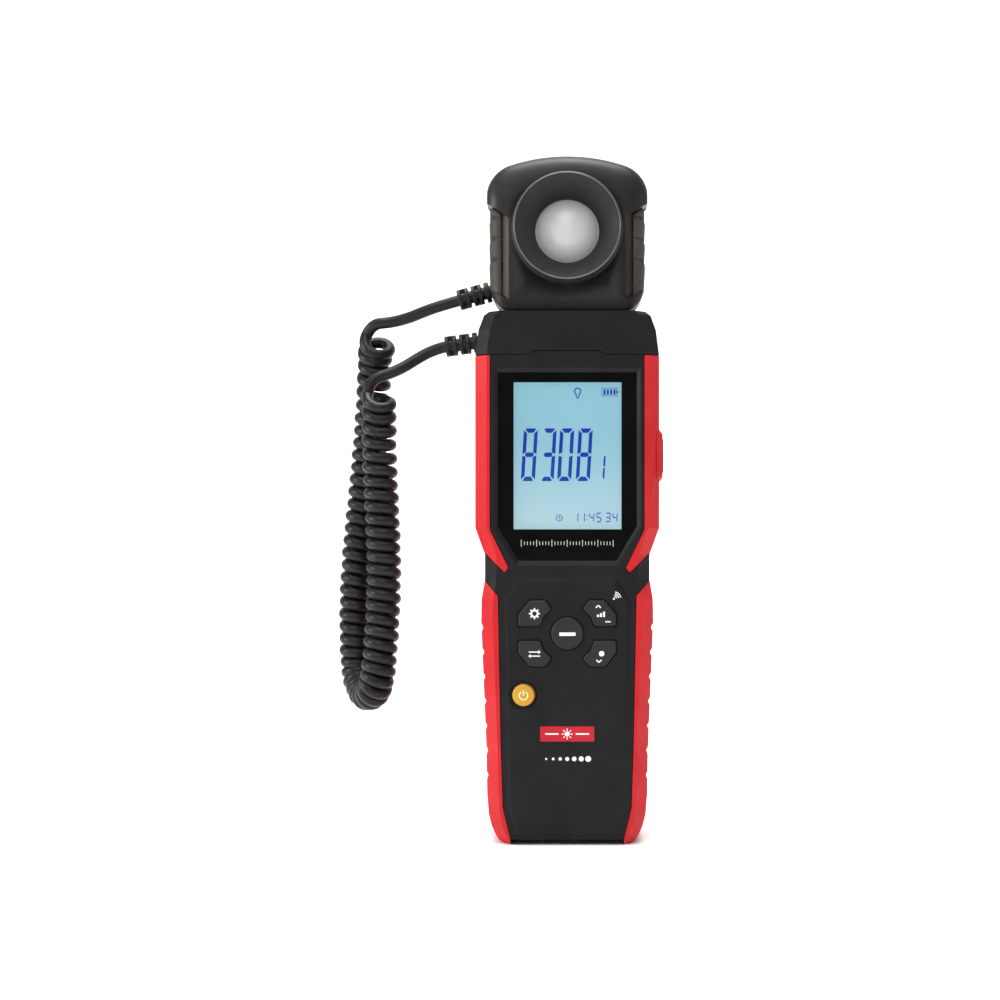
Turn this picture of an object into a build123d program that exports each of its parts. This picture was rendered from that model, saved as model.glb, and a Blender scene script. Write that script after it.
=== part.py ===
from build123d import *
from math import cos, pi, radians, sin, tan
import os

# Handheld light meter with a lift-off sensor head on a curly cord.
# Millimetres, +Z up, the display faces -Y, +X is the user's right. The meter stands on its bottom end.

# ---- driving dimensions --------------------------------------------------------------------------
FRONT_Y = -15.0  # front face of the body
REAR_Y = 15.0  # rear face of the body
SPLIT_Y = 1.0  # parting plane of the body halves
CORNER = 3.6  # chamfer along the body's long edges
SKIN = 1.8  # thickness of the red side grips
WALL = 1.8  # thickness of the moulded covers
BASE_Z = 1.7  # bottom of the black covers, between the red tips
CAP_Z = 147.3  # joint line between the covers and the top cap
TOP_Z = 160.5  # top of the body

# Height and half width of the body's silhouette, from the floor up.
SILHOUETTE = [
    (0.0, 19.1),
    (1.0, 20.6),
    (2.8, 21.7),
    (5.2, 22.8),
    (8.7, 23.7),
    (15.0, 24.2),
    (28.0, 24.4),
    (50.0, 25.3),
    (67.0, 26.0),
    (73.6, 25.9),
    (79.7, 24.85),
    (87.0, 24.85),
    (95.2, 27.8),
    (CAP_Z, 27.8),
    (155.0, 26.8),
    (159.3, 25.2),
    (TOP_Z, 23.6),
]

# Front outlines of the red grips, right-hand side (x, z).
GRIP_INNER_X = 23.0
BEYOND_X, BELOW_Z = 32.0, -1.0  # past the casing's side and its foot
UPPER_GRIP = [
    (GRIP_INNER_X, CAP_Z),
    (BEYOND_X, CAP_Z),
    (BEYOND_X, 94.2),
    (18.7, 81.5),
    (17.4, 83.2),
    (GRIP_INNER_X, 94.8),
]
LOWER_GRIP = [
    (24.9, 79.6),
    (BEYOND_X, 79.6),
    (BEYOND_X, BELOW_Z),
    (16.7, BELOW_Z),
    (17.0, 2.6),
    (19.1, 11.0),
    (19.7, 28.6),
    (20.6, 74.9),
]
GRIP_GAP = 0.22  # groove between a grip and the covers
JOINT_GAP, JOINT_DEPTH = 0.22, 0.4  # groove between the covers and the top cap
JOG_TOP, JOG_FOOT, JOG_RISE = 9.8, 11.6, 1.2  # half widths and height of the joint's step in the middle

SCALLOPS, SCALLOP_Z, SCALLOP_PITCH = 7, 65.1, 7.45  # finger notches of the lower grips, the top one's height
SCALLOP_R, SCALLOP_DEPTH, SCALLOP_LEN = 1.4, 0.5, 24.0

# Display, keypad and power key on the front.
WINDOW_BEVEL = [(22.1, 143.3), (22.1, 95.4), (15.4, 84.0)]
WINDOW = [(20.9, 142.0), (20.9, 95.7), (14.8, 85.3)]
BEVEL_DEPTH = 0.8
WINDOW_THICK = 1.6
PANEL_FOOT = [(14.9, 80.3), (19.0, 73.8), (18.0, 12.0), (15.4, 3.0)]
PANEL_TOP = [(14.1, 78.6), (17.8, 73.0), (16.9, 12.4), (14.6, 4.0)]
PANEL_RAISE = 0.5
LCD_CENTRE_Z = 116.0
LCD_W, LCD_H = 36.8, 49.4
KEYS_Z = 63.6  # centre of the round key
KEY_OUTLINE = [
    (-11.3, 73.5),
    (-6.5, 73.5),
    (-4.7, 70.9),
    (-7.05, 68.65),
    (-8.1, 65.75),
    (-14.65, 65.75),
    (-14.65, 69.3),
]
ROUND_KEY_R = 4.85
KEY_PROUD = 0.8
KEY_TRAVEL = 0.6
KEY_GAP = 0.3
POWER_X, POWER_Z, POWER_R = -13.1, 45.1, 3.3
POWER_DISH_R = 4.75
BADGE_W, BADGE_H, BADGE_Z = 16.2, 4.5, 33.5

# Inside the body.
PCB_Y, PCB_T = -6.0, 1.6  # rear face and thickness of the main board
CELL_R, CELL_L = 5.2, 44.5
CELL_Y = 7.7
BAY_Z0, BAY_Z1, BAY_HALF = 11.5, 62.0, 16.4  # battery bay
SCREWS = [(20.6, 144.2), (-20.6, 144.2), (18.3, 70.0), (-18.3, 70.0)]
SCREW_R = 1.2
TRIPOD_Z, TRIPOD_R, TRIPOD_BORE_R, TRIPOD_LEN = 100.0, 4.2, 2.55, 7.0
DOOR_HINGE_Y, DOOR_HINGE_Z, DOOR_T = 13.2, 9.0, 1.8
DOOR_HALF, DOOR_TOP = 15.5, 64.0
DOOR_GAP = 0.3
PORT_Z, PORT_Y, PORT_W, PORT_H = 117.0, -4.65, 8.6, 10.6

# Sensor head.
HEAD_FRONT, HEAD_REAR, HEAD_SPLIT = -9.5, 10.5, 0.5
HEAD_Z0, HEAD_Z1 = 161.0, 209.0
HEAD_HALF = 23.65
HEAD_WALL = 2.0
EYE_Z = 186.1  # axis of the collar and the dome
RIM_Y = -15.0
RIM_R, COLLAR_BASE_R, SPIGOT_R = 16.35, 16.9, 14.0
DOME_R, DOME_Y = 9.5, -2.3
HEAD_SCREWS = [(16.5, 168.5), (-16.5, 168.5), (16.5, 200.5), (-16.5, 200.5)]
TONGUE_W, TONGUE_T, TONGUE_L, TONGUE_Y = 16.0, 6.0, 9.0, 1.0
DOCK_GAP = 0.3

# Curly cord.
CORD_D = 3.6
COIL_D = 10.8
RELIEF_LEN = 10.4
HEAD_EXIT, HEAD_DROP = (-24.0, 0.5, 167.9), 15.6  # where the strain relief leaves the head, degrees down
BODY_EXIT, BODY_DROP = (-27.8, 0.5, 152.3), 8.0


# ---- helpers -------------------------------------------------------------------------------------
def facing_front(y):
    """A plane across the meter at depth y whose local axes are X and Z and which faces -Y."""
    return Plane(origin=(0, y, 0), x_dir=(1, 0, 0), z_dir=(0, -1, 0))


def slab(sketch, y_front, y_rear):
    """A front-view outline given thickness from y_front back to y_rear."""
    return extrude(facing_front(y_rear) * sketch, amount=y_rear - y_front, dir=(0, -1, 0))


def symmetric(points):
    """The closed polygon of a right-hand half outline and its mirror image."""
    left = [(-x, z) for x, z in reversed(points)]
    return Polygon(*points, *left, align=None)


def box(x0, x1, y0, y1, z0, z1):
    """A block between two corners."""
    return Pos((x0 + x1) / 2, (y0 + y1) / 2, (z0 + z1) / 2) * Box(x1 - x0, y1 - y0, z1 - z0)


def rod(x, z, r, y_front, y_rear):
    """A cylinder along Y."""
    return slab(Pos(x, z) * Circle(r), y_front, y_rear)


def between(foot, top, y_foot, y_top):
    """A bevelled layer between two symmetric outlines at two depths."""
    return loft([facing_front(y_foot) * symmetric(foot), facing_front(y_top) * symmetric(top)], ruled=True)


def envelope(inset):
    """The body's outer form, or a smaller one inside it."""
    sections = []
    for z, half in SILHOUETTE:
        near_floor = max(0.0, 1 - z / 8.7)
        near_top = max(0.0, (z - 155.0) / (TOP_Z - 155.0))
        level = z + inset * near_floor - inset * near_top
        x, y, cut = half - inset, REAR_Y - inset, CORNER - 0.586 * inset
        right = [(x - cut, -y), (x, cut - y), (x, y - cut), (x - cut, y)]
        sections.append(Pos(0, 0, level) * symmetric(right))
    return loft(sections, ruled=True)


def half_width(z):
    """The silhouette's half width at a height."""
    for (z0, half0), (z1, half1) in zip(SILHOUETTE, SILHOUETTE[1:]):
        if z <= z1:
            return half0 + (half1 - half0) * (z - z0) / (z1 - z0)
    return SILHOUETTE[-1][1]


def key_blank(outline, y_front, y_rear, grow):
    """A key's outline, grown all round, as a block."""
    shape = offset(outline, amount=grow, kind=Kind.INTERSECTION) if grow else outline
    return slab(shape, y_front, y_rear)


# ---- body ----------------------------------------------------------------------------------------
outer = envelope(0.0)
under_skin = envelope(SKIN)
cavity = envelope(SKIN + WALL)
covers_span = box(-40, 40, -30, 30, BASE_Z, CAP_Z)


def grip(points, side, gap):
    """One red side grip: a skin over the covers inside its front outline, drawn in by a gap."""
    outline = Polygon(*points, align=None)
    region = slab(offset(outline, amount=-gap, kind=Kind.INTERSECTION) if gap else outline, -30, 30)
    skin = (outer - under_skin) & region
    return skin if side > 0 else mirror(skin, about=Plane.YZ)


def port_boss():
    """The raised pad around the charging port, on the right-hand grip."""
    foot = Pos(27.0, PORT_Y, PORT_Z) * Rot(0, 90, 0) * RectangleRounded(18.4, 15.6, 3.0)
    top = Pos(28.9, PORT_Y, PORT_Z) * Rot(0, 90, 0) * RectangleRounded(13.6, 11.4, 1.5)
    return loft([foot, top], ruled=True) - under_skin


def port_window():
    """The opening for the port cover through the grip and the cover's side wall."""
    half_y, half_z = PORT_W / 2, PORT_H / 2
    return box(20, BEYOND_X, PORT_Y - half_y, PORT_Y + half_y, PORT_Z - half_z, PORT_Z + half_z)


def grip_skins(gap):
    """The plain skins of the four grips: upper left and right, then lower left and right."""
    return [grip(points, side, gap) for points in (UPPER_GRIP, LOWER_GRIP) for side in (-1, 1)]


def grips():
    """The four red grips, with scallops on the lower pair and the port on the upper right."""
    upper_left, upper_right, _, lower_right = grip_skins(GRIP_GAP)
    upper_right = upper_right + port_boss() - port_window()
    for step in range(SCALLOPS):
        z = SCALLOP_Z - SCALLOP_PITCH * step
        notch = Rot(90, 0, 0) * Cylinder(SCALLOP_R, SCALLOP_LEN)
        lower_right -= Pos(half_width(z) + SCALLOP_R - SCALLOP_DEPTH, 0, z) * notch
    lower_left = mirror(lower_right, about=Plane.YZ)
    return upper_left, upper_right, lower_left, lower_right


def corner_key(x_sign, z_sign):
    """The outline of a key beside the round one, mirrored left to right or top to bottom by its signs."""
    points = [(x_sign * x, KEYS_Z + z_sign * (z - KEYS_Z)) for x, z in KEY_OUTLINE]
    if x_sign * z_sign < 0:
        points.reverse()
    return fillet(Polygon(*points, align=None).vertices(), 0.7)


def key_shapes():
    """Front outlines of the five keypad keys and of the power key, by name."""
    return {
        "set_key": corner_key(1, 1),
        "unit_key": corner_key(1, -1),
        "max_min_key": corner_key(-1, 1),
        "rec_key": corner_key(-1, -1),
        "hold_key": Pos(0, KEYS_Z) * Circle(ROUND_KEY_R),
        "power_key": Pos(POWER_X, POWER_Z) * Circle(POWER_R),
    }


def jog(gap):
    """The step of the joint line in the middle of the front, as an outline drawn in by a gap."""
    top, foot, rise = JOG_TOP - gap, JOG_FOOT - gap, JOG_RISE - gap
    return Polygon((-foot, CAP_Z), (-top, CAP_Z + rise), (top, CAP_Z + rise), (foot, CAP_Z), align=None)


def joint_groove():
    """The fine groove round the casing along the joint of the covers and the cap, except under the step."""
    level = box(-40, 40, -30, 30, CAP_Z - JOINT_GAP / 2, CAP_Z + JOINT_GAP / 2)
    under_jog = box(-JOG_FOOT, JOG_FOOT, -30, 0, CAP_Z - 1, CAP_Z + 1)
    return (outer - envelope(JOINT_DEPTH)) & (level - under_jog)


PANEL_Y = FRONT_Y - PANEL_RAISE
GLASS_Y = FRONT_Y + BEVEL_DEPTH
LCD_Y = GLASS_Y + WINDOW_THICK + 0.2
KEY_WALL_Y = PANEL_Y + 2.1  # inner face of the thin wall behind the keys
CAVITY_FRONT = FRONT_Y + SKIN + WALL


def front_cover(shapes, skins):
    """The front half of the casing, with the display window's seat and the keypad panel."""
    half = box(-40, 40, -30, SPLIT_Y, -5, 170)
    shell = (outer & covers_span & half) - cavity
    for skin in skins:
        shell -= skin
    shell -= port_window()
    shell += between(PANEL_FOOT, PANEL_TOP, FRONT_Y, PANEL_Y)
    shell -= between(WINDOW_BEVEL, WINDOW, FRONT_Y, GLASS_Y)
    shell -= slab(symmetric(WINDOW), GLASS_Y - 0.01, GLASS_Y + WINDOW_THICK)
    lcd_hole = Pos(0, LCD_CENTRE_Z - 0.5) * Rectangle(LCD_W + 0.6, LCD_H + 0.6)
    shell -= slab(lcd_hole, GLASS_Y, CAVITY_FRONT + 1)
    shell -= box(-17.6, 17.6, KEY_WALL_Y, CAVITY_FRONT + 1, 40, 76)
    for shape in shapes.values():
        shell -= key_blank(shape, -20, -10, KEY_GAP)
    dish = [
        (0, PANEL_Y - 0.1),
        (POWER_DISH_R, PANEL_Y - 0.1),
        (POWER_R + 0.6, PANEL_Y + 0.7),
        (0, PANEL_Y + 0.7),
    ]
    turned = revolve(Polygon(*dish, align=None), axis=Axis.Y, revolution_arc=360)
    shell -= Pos(POWER_X, 0, POWER_Z) * turned
    shell -= slab(Pos(0, BADGE_Z) * Rectangle(BADGE_W, BADGE_H), PANEL_Y - 1, PANEL_Y + 0.4)
    shell += slab(jog(JOINT_GAP), FRONT_Y, FRONT_Y + SKIN)
    shell -= joint_groove()
    for x, z in SCREWS:
        post = rod(x, z, 2.5, CAVITY_FRONT - 0.5, SPLIT_Y) & under_skin
        shell += post
        shell -= rod(x, z, SCREW_R + 0.02, CAVITY_FRONT + 2, SPLIT_Y + 1)
    return shell


def door_opening():
    """The battery door's opening in the rear face."""
    z0 = DOOR_HINGE_Z - DOOR_T - DOOR_GAP
    return box(-DOOR_HALF - DOOR_GAP, DOOR_HALF + DOOR_GAP, DOOR_HINGE_Y - 2.2, 20, z0, DOOR_TOP + DOOR_GAP)


def rear_cover(skins):
    """The rear half of the casing, with the battery bay, the tripod boss and the screw posts."""
    half = box(-40, 40, SPLIT_Y, 30, -5, 170)
    shell = (outer & covers_span & half) - cavity
    for skin in skins:
        shell -= skin
    reach = BAY_HALF + 1.2
    bay_walls = box(-reach, reach, SPLIT_Y + 0.2, REAR_Y - SKIN, BAY_Z0 - 5.6, BAY_Z1 + 1.2)
    shell += bay_walls & under_skin
    shell -= box(-BAY_HALF, BAY_HALF, SPLIT_Y + 1.2, 12, BAY_Z0, BAY_Z1)
    shell -= box(-DOOR_HALF, DOOR_HALF, 11, 20, BAY_Z0, BAY_Z1)
    shell -= door_opening()
    shell += rod(0, TRIPOD_Z, TRIPOD_R + 1.8, REAR_Y - TRIPOD_LEN, REAR_Y - SKIN - 0.5)
    shell -= rod(0, TRIPOD_Z, TRIPOD_R, 0, REAR_Y + 1)
    for x, z in SCREWS:
        shell += rod(x, z, 2.9, SPLIT_Y, REAR_Y - 3) & under_skin
        shell -= rod(x, z, SCREW_R + 0.15, SPLIT_Y - 1, REAR_Y + 1)
        shell -= rod(x, z, 2.5, REAR_Y - 2.6, REAR_Y + 1)
    pin_hole = Pos(0, DOOR_HINGE_Y, DOOR_HINGE_Z) * Rot(0, 90, 0) * Cylinder(0.75, 2 * DOOR_HALF + 5)
    return shell - pin_hole - joint_groove()


def relief_axis(start, drop, distance):
    """A point along a strain relief's axis, which points left and drop degrees down."""
    x, y, z = start
    return (x - distance * cos(radians(drop)), y, z - distance * sin(radians(drop)))


def relief_place(start, drop):
    """The frame of a strain relief: local +Z runs out of the casing along the cord."""
    direction = (-cos(radians(drop)), 0, -sin(radians(drop)))
    return Plane(origin=start, x_dir=(0, 1, 0), z_dir=direction).location


def strain_relief(start, drop):
    """A ribbed rubber sleeve: a flange inside the wall, a neck, three ribs and a tip."""
    core, rib, flange = 2.1, 3.3, 3.6
    levels = [(-4.8, -3.6, flange), (-3.6, RELIEF_LEN, core), (0.3, 1.5, rib)]
    for first in (2.7, 7.2):
        levels += [(first, first + 0.95, rib)]
        levels += [(first + 0.95, first + 2.0, 2.75)]
        levels += [(first + 2.0, first + 3.0, rib)]
    sleeve = Part()
    for low, high, radius in levels:
        sleeve += Pos(0, 0, (low + high) / 2) * Cylinder(radius, high - low)
    return relief_place(start, drop) * sleeve


def relief_hole(start, drop, inside):
    """The passage of a strain relief's neck and flange through a wall."""
    neck = Pos(0, 0, -1.5) * Cylinder(2.1, 9)
    collar_room = Pos(0, 0, -3.6 - inside / 2) * Cylinder(3.6, inside)
    return relief_place(start, drop) * (neck + collar_room)


def top_cap():
    """The cap over both halves, with the socket for the sensor head."""
    span = box(-40, 40, -30, 30, CAP_Z, 170)
    cap = (outer & span) - cavity - joint_groove()
    socket = box(-11, 11, TONGUE_Y - 5.2, TONGUE_Y + 5.2, TOP_Z - TONGUE_L - 2.2, TOP_Z - 1.5)
    cap += socket
    w, t = TONGUE_W / 2 + DOCK_GAP, TONGUE_T / 2 + DOCK_GAP
    cap -= box(-w, w, TONGUE_Y - t, TONGUE_Y + t, TOP_Z - TONGUE_L - 0.6, TOP_Z + 1)
    cap -= slab(jog(0.0), FRONT_Y - 1, CAVITY_FRONT + 0.1)
    return cap - relief_hole(BODY_EXIT, BODY_DROP, 4.0)


def battery_door():
    """The rear door, with its hinge barrel along the lower edge and a thumb ridge near the top."""
    door = box(-DOOR_HALF, DOOR_HALF, DOOR_HINGE_Y, REAR_Y, DOOR_HINGE_Z, DOOR_TOP)
    barrel = Pos(0, DOOR_HINGE_Y, DOOR_HINGE_Z) * Rot(0, 90, 0) * Cylinder(DOOR_T, 2 * DOOR_HALF)
    door += barrel
    for step in range(4):
        door += box(-6, 6, REAR_Y - 0.1, REAR_Y + 0.4, 55 + 1.8 * step, 55.9 + 1.8 * step)
    return door - Pos(0, DOOR_HINGE_Y, DOOR_HINGE_Z) * Rot(0, 90, 0) * Cylinder(0.8, 2 * DOOR_HALF + 1)


def main_board():
    """The circuit board: wide behind the display, narrow beside the screw posts."""
    outline = [(20.4, 139.0), (20.4, 86.0), (15.4, 80.0), (15.4, 20.0)]
    return slab(symmetric(outline), PCB_Y - PCB_T, PCB_Y)


def lcd_frame():
    """The moulded frame that holds the display on the board."""
    outline = Pos(0, LCD_CENTRE_Z - 0.5) * Rectangle(LCD_W + 3.4, LCD_H + 3.0)
    hole = Pos(0, LCD_CENTRE_Z - 0.5) * Rectangle(LCD_W, LCD_H)
    return slab(outline - hole, CAVITY_FRONT, PCB_Y - PCB_T)


def springs():
    """Three coil springs at the foot of the battery bay."""
    coils = []
    for column in (-1, 0, 1):
        route = Helix(pitch=1.5, height=4.2, radius=2.6)
        section = Plane(origin=route @ 0, z_dir=route % 0) * Circle(0.3)
        coils.append(Pos(column * 10.8, CELL_Y, BAY_Z0 + 0.75) * sweep(section, path=route, is_frenet=True))
    return coils


def contact_plates():
    """Plated contacts against the two ends of the battery bay."""
    plates = []
    for column in (-1, 0, 1):
        x = column * 10.8
        plates.append(box(x - 4, x + 4, CELL_Y - 4, CELL_Y + 4, BAY_Z0, BAY_Z0 + 0.4))
        plates.append(box(x - 4, x + 4, CELL_Y - 4, CELL_Y + 4, BAY_Z1 - 0.4, BAY_Z1))
    return plates


def cells():
    """Three AAA cells side by side."""
    group = []
    for column in (-1, 0, 1):
        can = Pos(column * 10.8, CELL_Y, BAY_Z1 - 0.4 - CELL_L / 2 - 0.4) * Cylinder(CELL_R, CELL_L - 0.8)
        nipple = Pos(column * 10.8, CELL_Y, BAY_Z1 - 0.8) * Cylinder(1.9, 0.8)
        group.append(can + nipple)
    return group


def screws(places, y_head, head_r, length):
    """Pan-head screws driven from the rear, with a cross recess."""
    group = []
    for x, z in places:
        screw = rod(x, z, head_r, y_head - 1.6, y_head)
        screw += rod(x, z, SCREW_R, y_head - 1.6 - length, y_head - 1.6)
        for angle in (0, 90):
            slot = Pos(x, y_head, z) * Rot(0, angle, 0) * Box(2.6, 1.6, 0.6)
            screw -= slot
        group.append(screw)
    return group


def usb_socket():
    """The metal charging socket at the edge of the board."""
    body = box(18.3, 24.0, PCB_Y, PCB_Y + 2.8, PORT_Z - 3.8, PORT_Z + 3.8)
    return body - box(19.3, 25.0, PCB_Y + 0.35, PCB_Y + 2.45, PORT_Z - 3.4, PORT_Z + 3.4)


PORT_HINGE_X, PORT_HINGE_Y = 28.6, PORT_Y + 3.4


def port_cover():
    """The rubber flap over the charging port, with its plug and its hinge bead."""
    near, far = PORT_HINGE_Y, PORT_Y - 4.0
    flap = box(27.9, 29.2, far, near, PORT_Z - 5.0, PORT_Z + 5.0)
    flap += box(24.8, 27.9, far + 1.2, near - 1.2, PORT_Z - 4.0, PORT_Z + 4.0)
    flap += Pos(PORT_HINGE_X, PORT_HINGE_Y, PORT_Z) * Cylinder(0.6, 10)
    return flap


def keypad_membrane():
    """The silicone mat under the keys, with a low dome for each."""
    mat = box(-15.4, 15.4, PCB_Y - PCB_T - 1.0, PCB_Y - PCB_T, 40.5, 75.5)
    for x, z in KEY_CENTRES.values():
        mat += rod(x, z, 2.4, PCB_Y - PCB_T - 1.4, PCB_Y - PCB_T - 0.9)
    return mat


KEY_CENTRES = {
    "set_key": (-10.0, 69.5),
    "unit_key": (-10.0, 2 * KEYS_Z - 69.5),
    "max_min_key": (10.0, 69.5),
    "rec_key": (10.0, 2 * KEYS_Z - 69.5),
    "hold_key": (0.0, KEYS_Z),
    "power_key": (POWER_X, POWER_Z),
}


def key(name, shape):
    """One key: a cap, a flange behind the wall and a stem towards its dome."""
    proud = 0.25 if name == "power_key" else KEY_PROUD
    y_front = PANEL_Y - proud
    y_stem = PCB_Y - PCB_T - 1.45 - KEY_TRAVEL
    cap = key_blank(shape, y_front, KEY_WALL_Y + 0.2, 0)
    front = cap.faces().sort_by(Axis.Y)[0]
    cap = chamfer(front.edges(), 0.35)
    x, z = KEY_CENTRES[name]
    flange = key_blank(shape, KEY_WALL_Y + 0.2, KEY_WALL_Y + 1.0, 0.75)
    return cap + flange + rod(x, z, 2.0, KEY_WALL_Y + 0.9, y_stem)


# ---- sensor head ---------------------------------------------------------------------------------
def head_outline(inset):
    """The head's front outline: a bowed crown, shoulders, a step and rounded lower corners."""
    right = [(24.3, 199.4), (24.6, 198.0), (24.6, 195.4)]
    right += [(HEAD_HALF, 193.6), (HEAD_HALF, 166.3), (19.8, HEAD_Z0)]
    crown = ThreePointArc((-18.2, 206.0), (0, HEAD_Z1), (18.2, 206.0))
    shoulder = ThreePointArc((18.2, 206.0), (22.1, 203.3), right[0])
    side = Polyline(*right)
    half = [shoulder, side]
    mirrored = [mirror(edge, about=Plane.YZ) for edge in half]
    foot = Line(right[-1], (-right[-1][0], HEAD_Z0))
    face = make_face(Curve() + [crown, *half, *mirrored, foot])
    return offset(face, amount=-inset, kind=Kind.INTERSECTION) if inset else face


def head_block(inset, y_front, y_rear, round_r):
    """The head as a solid, rounded along its front and rear rims."""
    block = slab(head_outline(inset), y_front, y_rear)
    if round_r:
        rims = block.faces().sort_by(Axis.Y)[0].edges() + block.faces().sort_by(Axis.Y)[-1].edges()
        block = chamfer(rims, round_r)
    return block


GRIP_X = 19.4
HEAD_GRIP = [(GRIP_X, 190.4), (26, 195.6), (26, 165.8), (GRIP_X, 163.4)]


def head_grip(block, inner, side):
    """A ribbed rubber pad let into one side of the head."""
    region = slab(Polygon(*HEAD_GRIP, align=None), -30, 30)
    pad = (block - inner) & region
    for step in range(4):
        z = 190.0 - 6.4 * step
        pad -= Pos(HEAD_HALF + 0.3, 0, z) * Rot(0, 45, 0) * Box(1.3, 24, 1.3)
    return pad if side > 0 else mirror(pad, about=Plane.YZ)


def head_parts():
    """The two shells and the two side pads of the sensor head."""
    block = head_block(0, HEAD_FRONT, HEAD_REAR, 2.6)
    lined = head_block(1.0, HEAD_FRONT + 1.0, HEAD_REAR - 1.0, 1.9)
    inner = head_block(HEAD_WALL, HEAD_FRONT + HEAD_WALL, HEAD_REAR - HEAD_WALL, 0)
    region = slab(Polygon(*HEAD_GRIP, align=None), -30, 30)
    pads = [head_grip(block, lined, -1), head_grip(block, lined, 1)]
    skin = (block - lined) & region
    shell = block - inner - skin - mirror(skin, about=Plane.YZ)
    front = shell & box(-40, 40, -30, HEAD_SPLIT, 150, 220)
    rear = shell & box(-40, 40, HEAD_SPLIT, 30, 150, 220)
    front -= rod(0, EYE_Z, SPIGOT_R, -30, HEAD_SPLIT)
    w, t = TONGUE_W / 2, TONGUE_T / 2
    throat = box(-w, w, TONGUE_Y - t, TONGUE_Y + t, 150, HEAD_Z0 + 5)
    for x, z in HEAD_SCREWS:
        front += rod(x, z, 2.4, HEAD_FRONT + HEAD_WALL - 0.1, HEAD_SPLIT)
        front -= rod(x, z, SCREW_R + 0.02, HEAD_FRONT + HEAD_WALL + 1, HEAD_SPLIT + 1)
        rear += rod(x, z, 2.8, HEAD_SPLIT, HEAD_REAR - HEAD_WALL + 0.1)
        rear -= rod(x, z, SCREW_R + 0.15, HEAD_SPLIT - 1, HEAD_REAR + 1)
        rear -= rod(x, z, 2.45, HEAD_REAR - 2.4, HEAD_REAR + 1)
    hole = relief_hole(HEAD_EXIT, HEAD_DROP, 4.0)
    return front - throat - hole, rear - throat - hole, [pad - hole for pad in pads]


def dock_tongue():
    """The tongue that holds the head in the body's socket, with its flange inside the head."""
    w, t = TONGUE_W / 2, TONGUE_T / 2
    tongue = box(-w, w, TONGUE_Y - t, TONGUE_Y + t, TOP_Z - TONGUE_L, HEAD_Z0 + HEAD_WALL)
    tongue = chamfer(tongue.faces().sort_by(Axis.Z)[0].edges(), 0.8)
    flange_z = HEAD_Z0 + HEAD_WALL
    return tongue + box(-w - 2, w + 2, TONGUE_Y - t - 2, TONGUE_Y + t + 2, flange_z, flange_z + 1.5)


def collar():
    """The flared ring around the dome: a dished funnel in front and a spigot through the head's wall."""
    inner_rim, throat_r = RIM_R - 0.5, DOME_R + 0.3
    funnel = ThreePointArc((inner_rim, RIM_Y), (inner_rim - 3.1, RIM_Y + 5.0), (throat_r, RIM_Y + 10.6))
    spigot_front = (SPIGOT_R, HEAD_FRONT)
    walls = Polyline((throat_r, RIM_Y + 10.6), (throat_r, DOME_Y), (SPIGOT_R, DOME_Y), spigot_front)
    outside = Polyline(spigot_front, (COLLAR_BASE_R, HEAD_FRONT), (RIM_R, RIM_Y), (inner_rim, RIM_Y))
    profile = make_face(Curve() + [funnel, walls, outside])
    return Pos(0, 0, EYE_Z) * revolve(profile, axis=Axis.Y, revolution_arc=360)


def dome():
    """The white diffuser: a hemisphere shell on a flange."""
    wall = 1.5
    ball = Sphere(DOME_R) - Sphere(DOME_R - wall)
    front_half = ball & box(-20, 20, -20, 0, -20, 20)
    flange = slab(Circle(12.0) - Circle(DOME_R - wall), 0, 1.5)
    return Pos(0, DOME_Y, EYE_Z) * (front_half + flange)


def ring(r_in, r_out, y_front, y_rear):
    """A flat ring about the sensor's axis."""
    return slab(Pos(0, EYE_Z) * (Circle(r_out) - Circle(r_in)), y_front, y_rear)


# ---- curly cord ----------------------------------------------------------------------------------
# Corners of the cord's route: from the head's strain relief down the rear leg, round the bend, up the front
# leg to the body's strain relief.
ROUTE = [
    relief_axis(HEAD_EXIT, HEAD_DROP, RELIEF_LEN + 0.3),
    relief_axis(HEAD_EXIT, HEAD_DROP, RELIEF_LEN + 7.0),
    (-47.6, 1.3, 160.6),
    (-54.6, 3.4, 158.1),
    (-59.2, 5.2, 155.4),
    (-59.6, 6.3, 150.0),
    (-60.6, 6.7, 137.5),
    (-61.8, 6.8, 120.0),
    (-63.5, 6.8, 103.0),
    (-65.2, 6.6, 87.0),
    (-66.1, 6.8, 71.0),
    (-66.1, 7.7, 56.5),
    (-65.3, 7.3, 47.2),
    (-61.5, 0.7, 42.6),
    (-58.1, -6.0, 47.0),
    (-57.1, -6.4, 56.0),
    (-56.3, -5.5, 68.5),
    (-56.0, -5.0, 82.0),
    (-56.4, -5.1, 95.5),
    (-57.1, -5.0, 109.0),
    (-57.5, -5.1, 121.0),
    (-57.5, -5.0, 131.0),
    (-57.3, -5.0, 135.6),
    (-55.6, -4.3, 139.1),
    (-51.9, -2.7, 142.8),
    (-46.4, -0.8, 146.6),
    relief_axis(BODY_EXIT, BODY_DROP, RELIEF_LEN + 3.8),
    relief_axis(BODY_EXIT, BODY_DROP, RELIEF_LEN),
]
COIL_FIRST, COIL_LAST = 5, 21  # the corners of the route that lie in the coiled stretch


def along_run(a, b, share):
    """A point part of the way from one corner to the next."""
    return tuple(start + share * (end - start) for start, end in zip(a, b))


COIL_TOP = along_run(ROUTE[COIL_FIRST - 1], ROUTE[COIL_FIRST], 0.55)
COIL_END = along_run(ROUTE[COIL_LAST], ROUTE[COIL_LAST + 1], 0.55)


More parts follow.
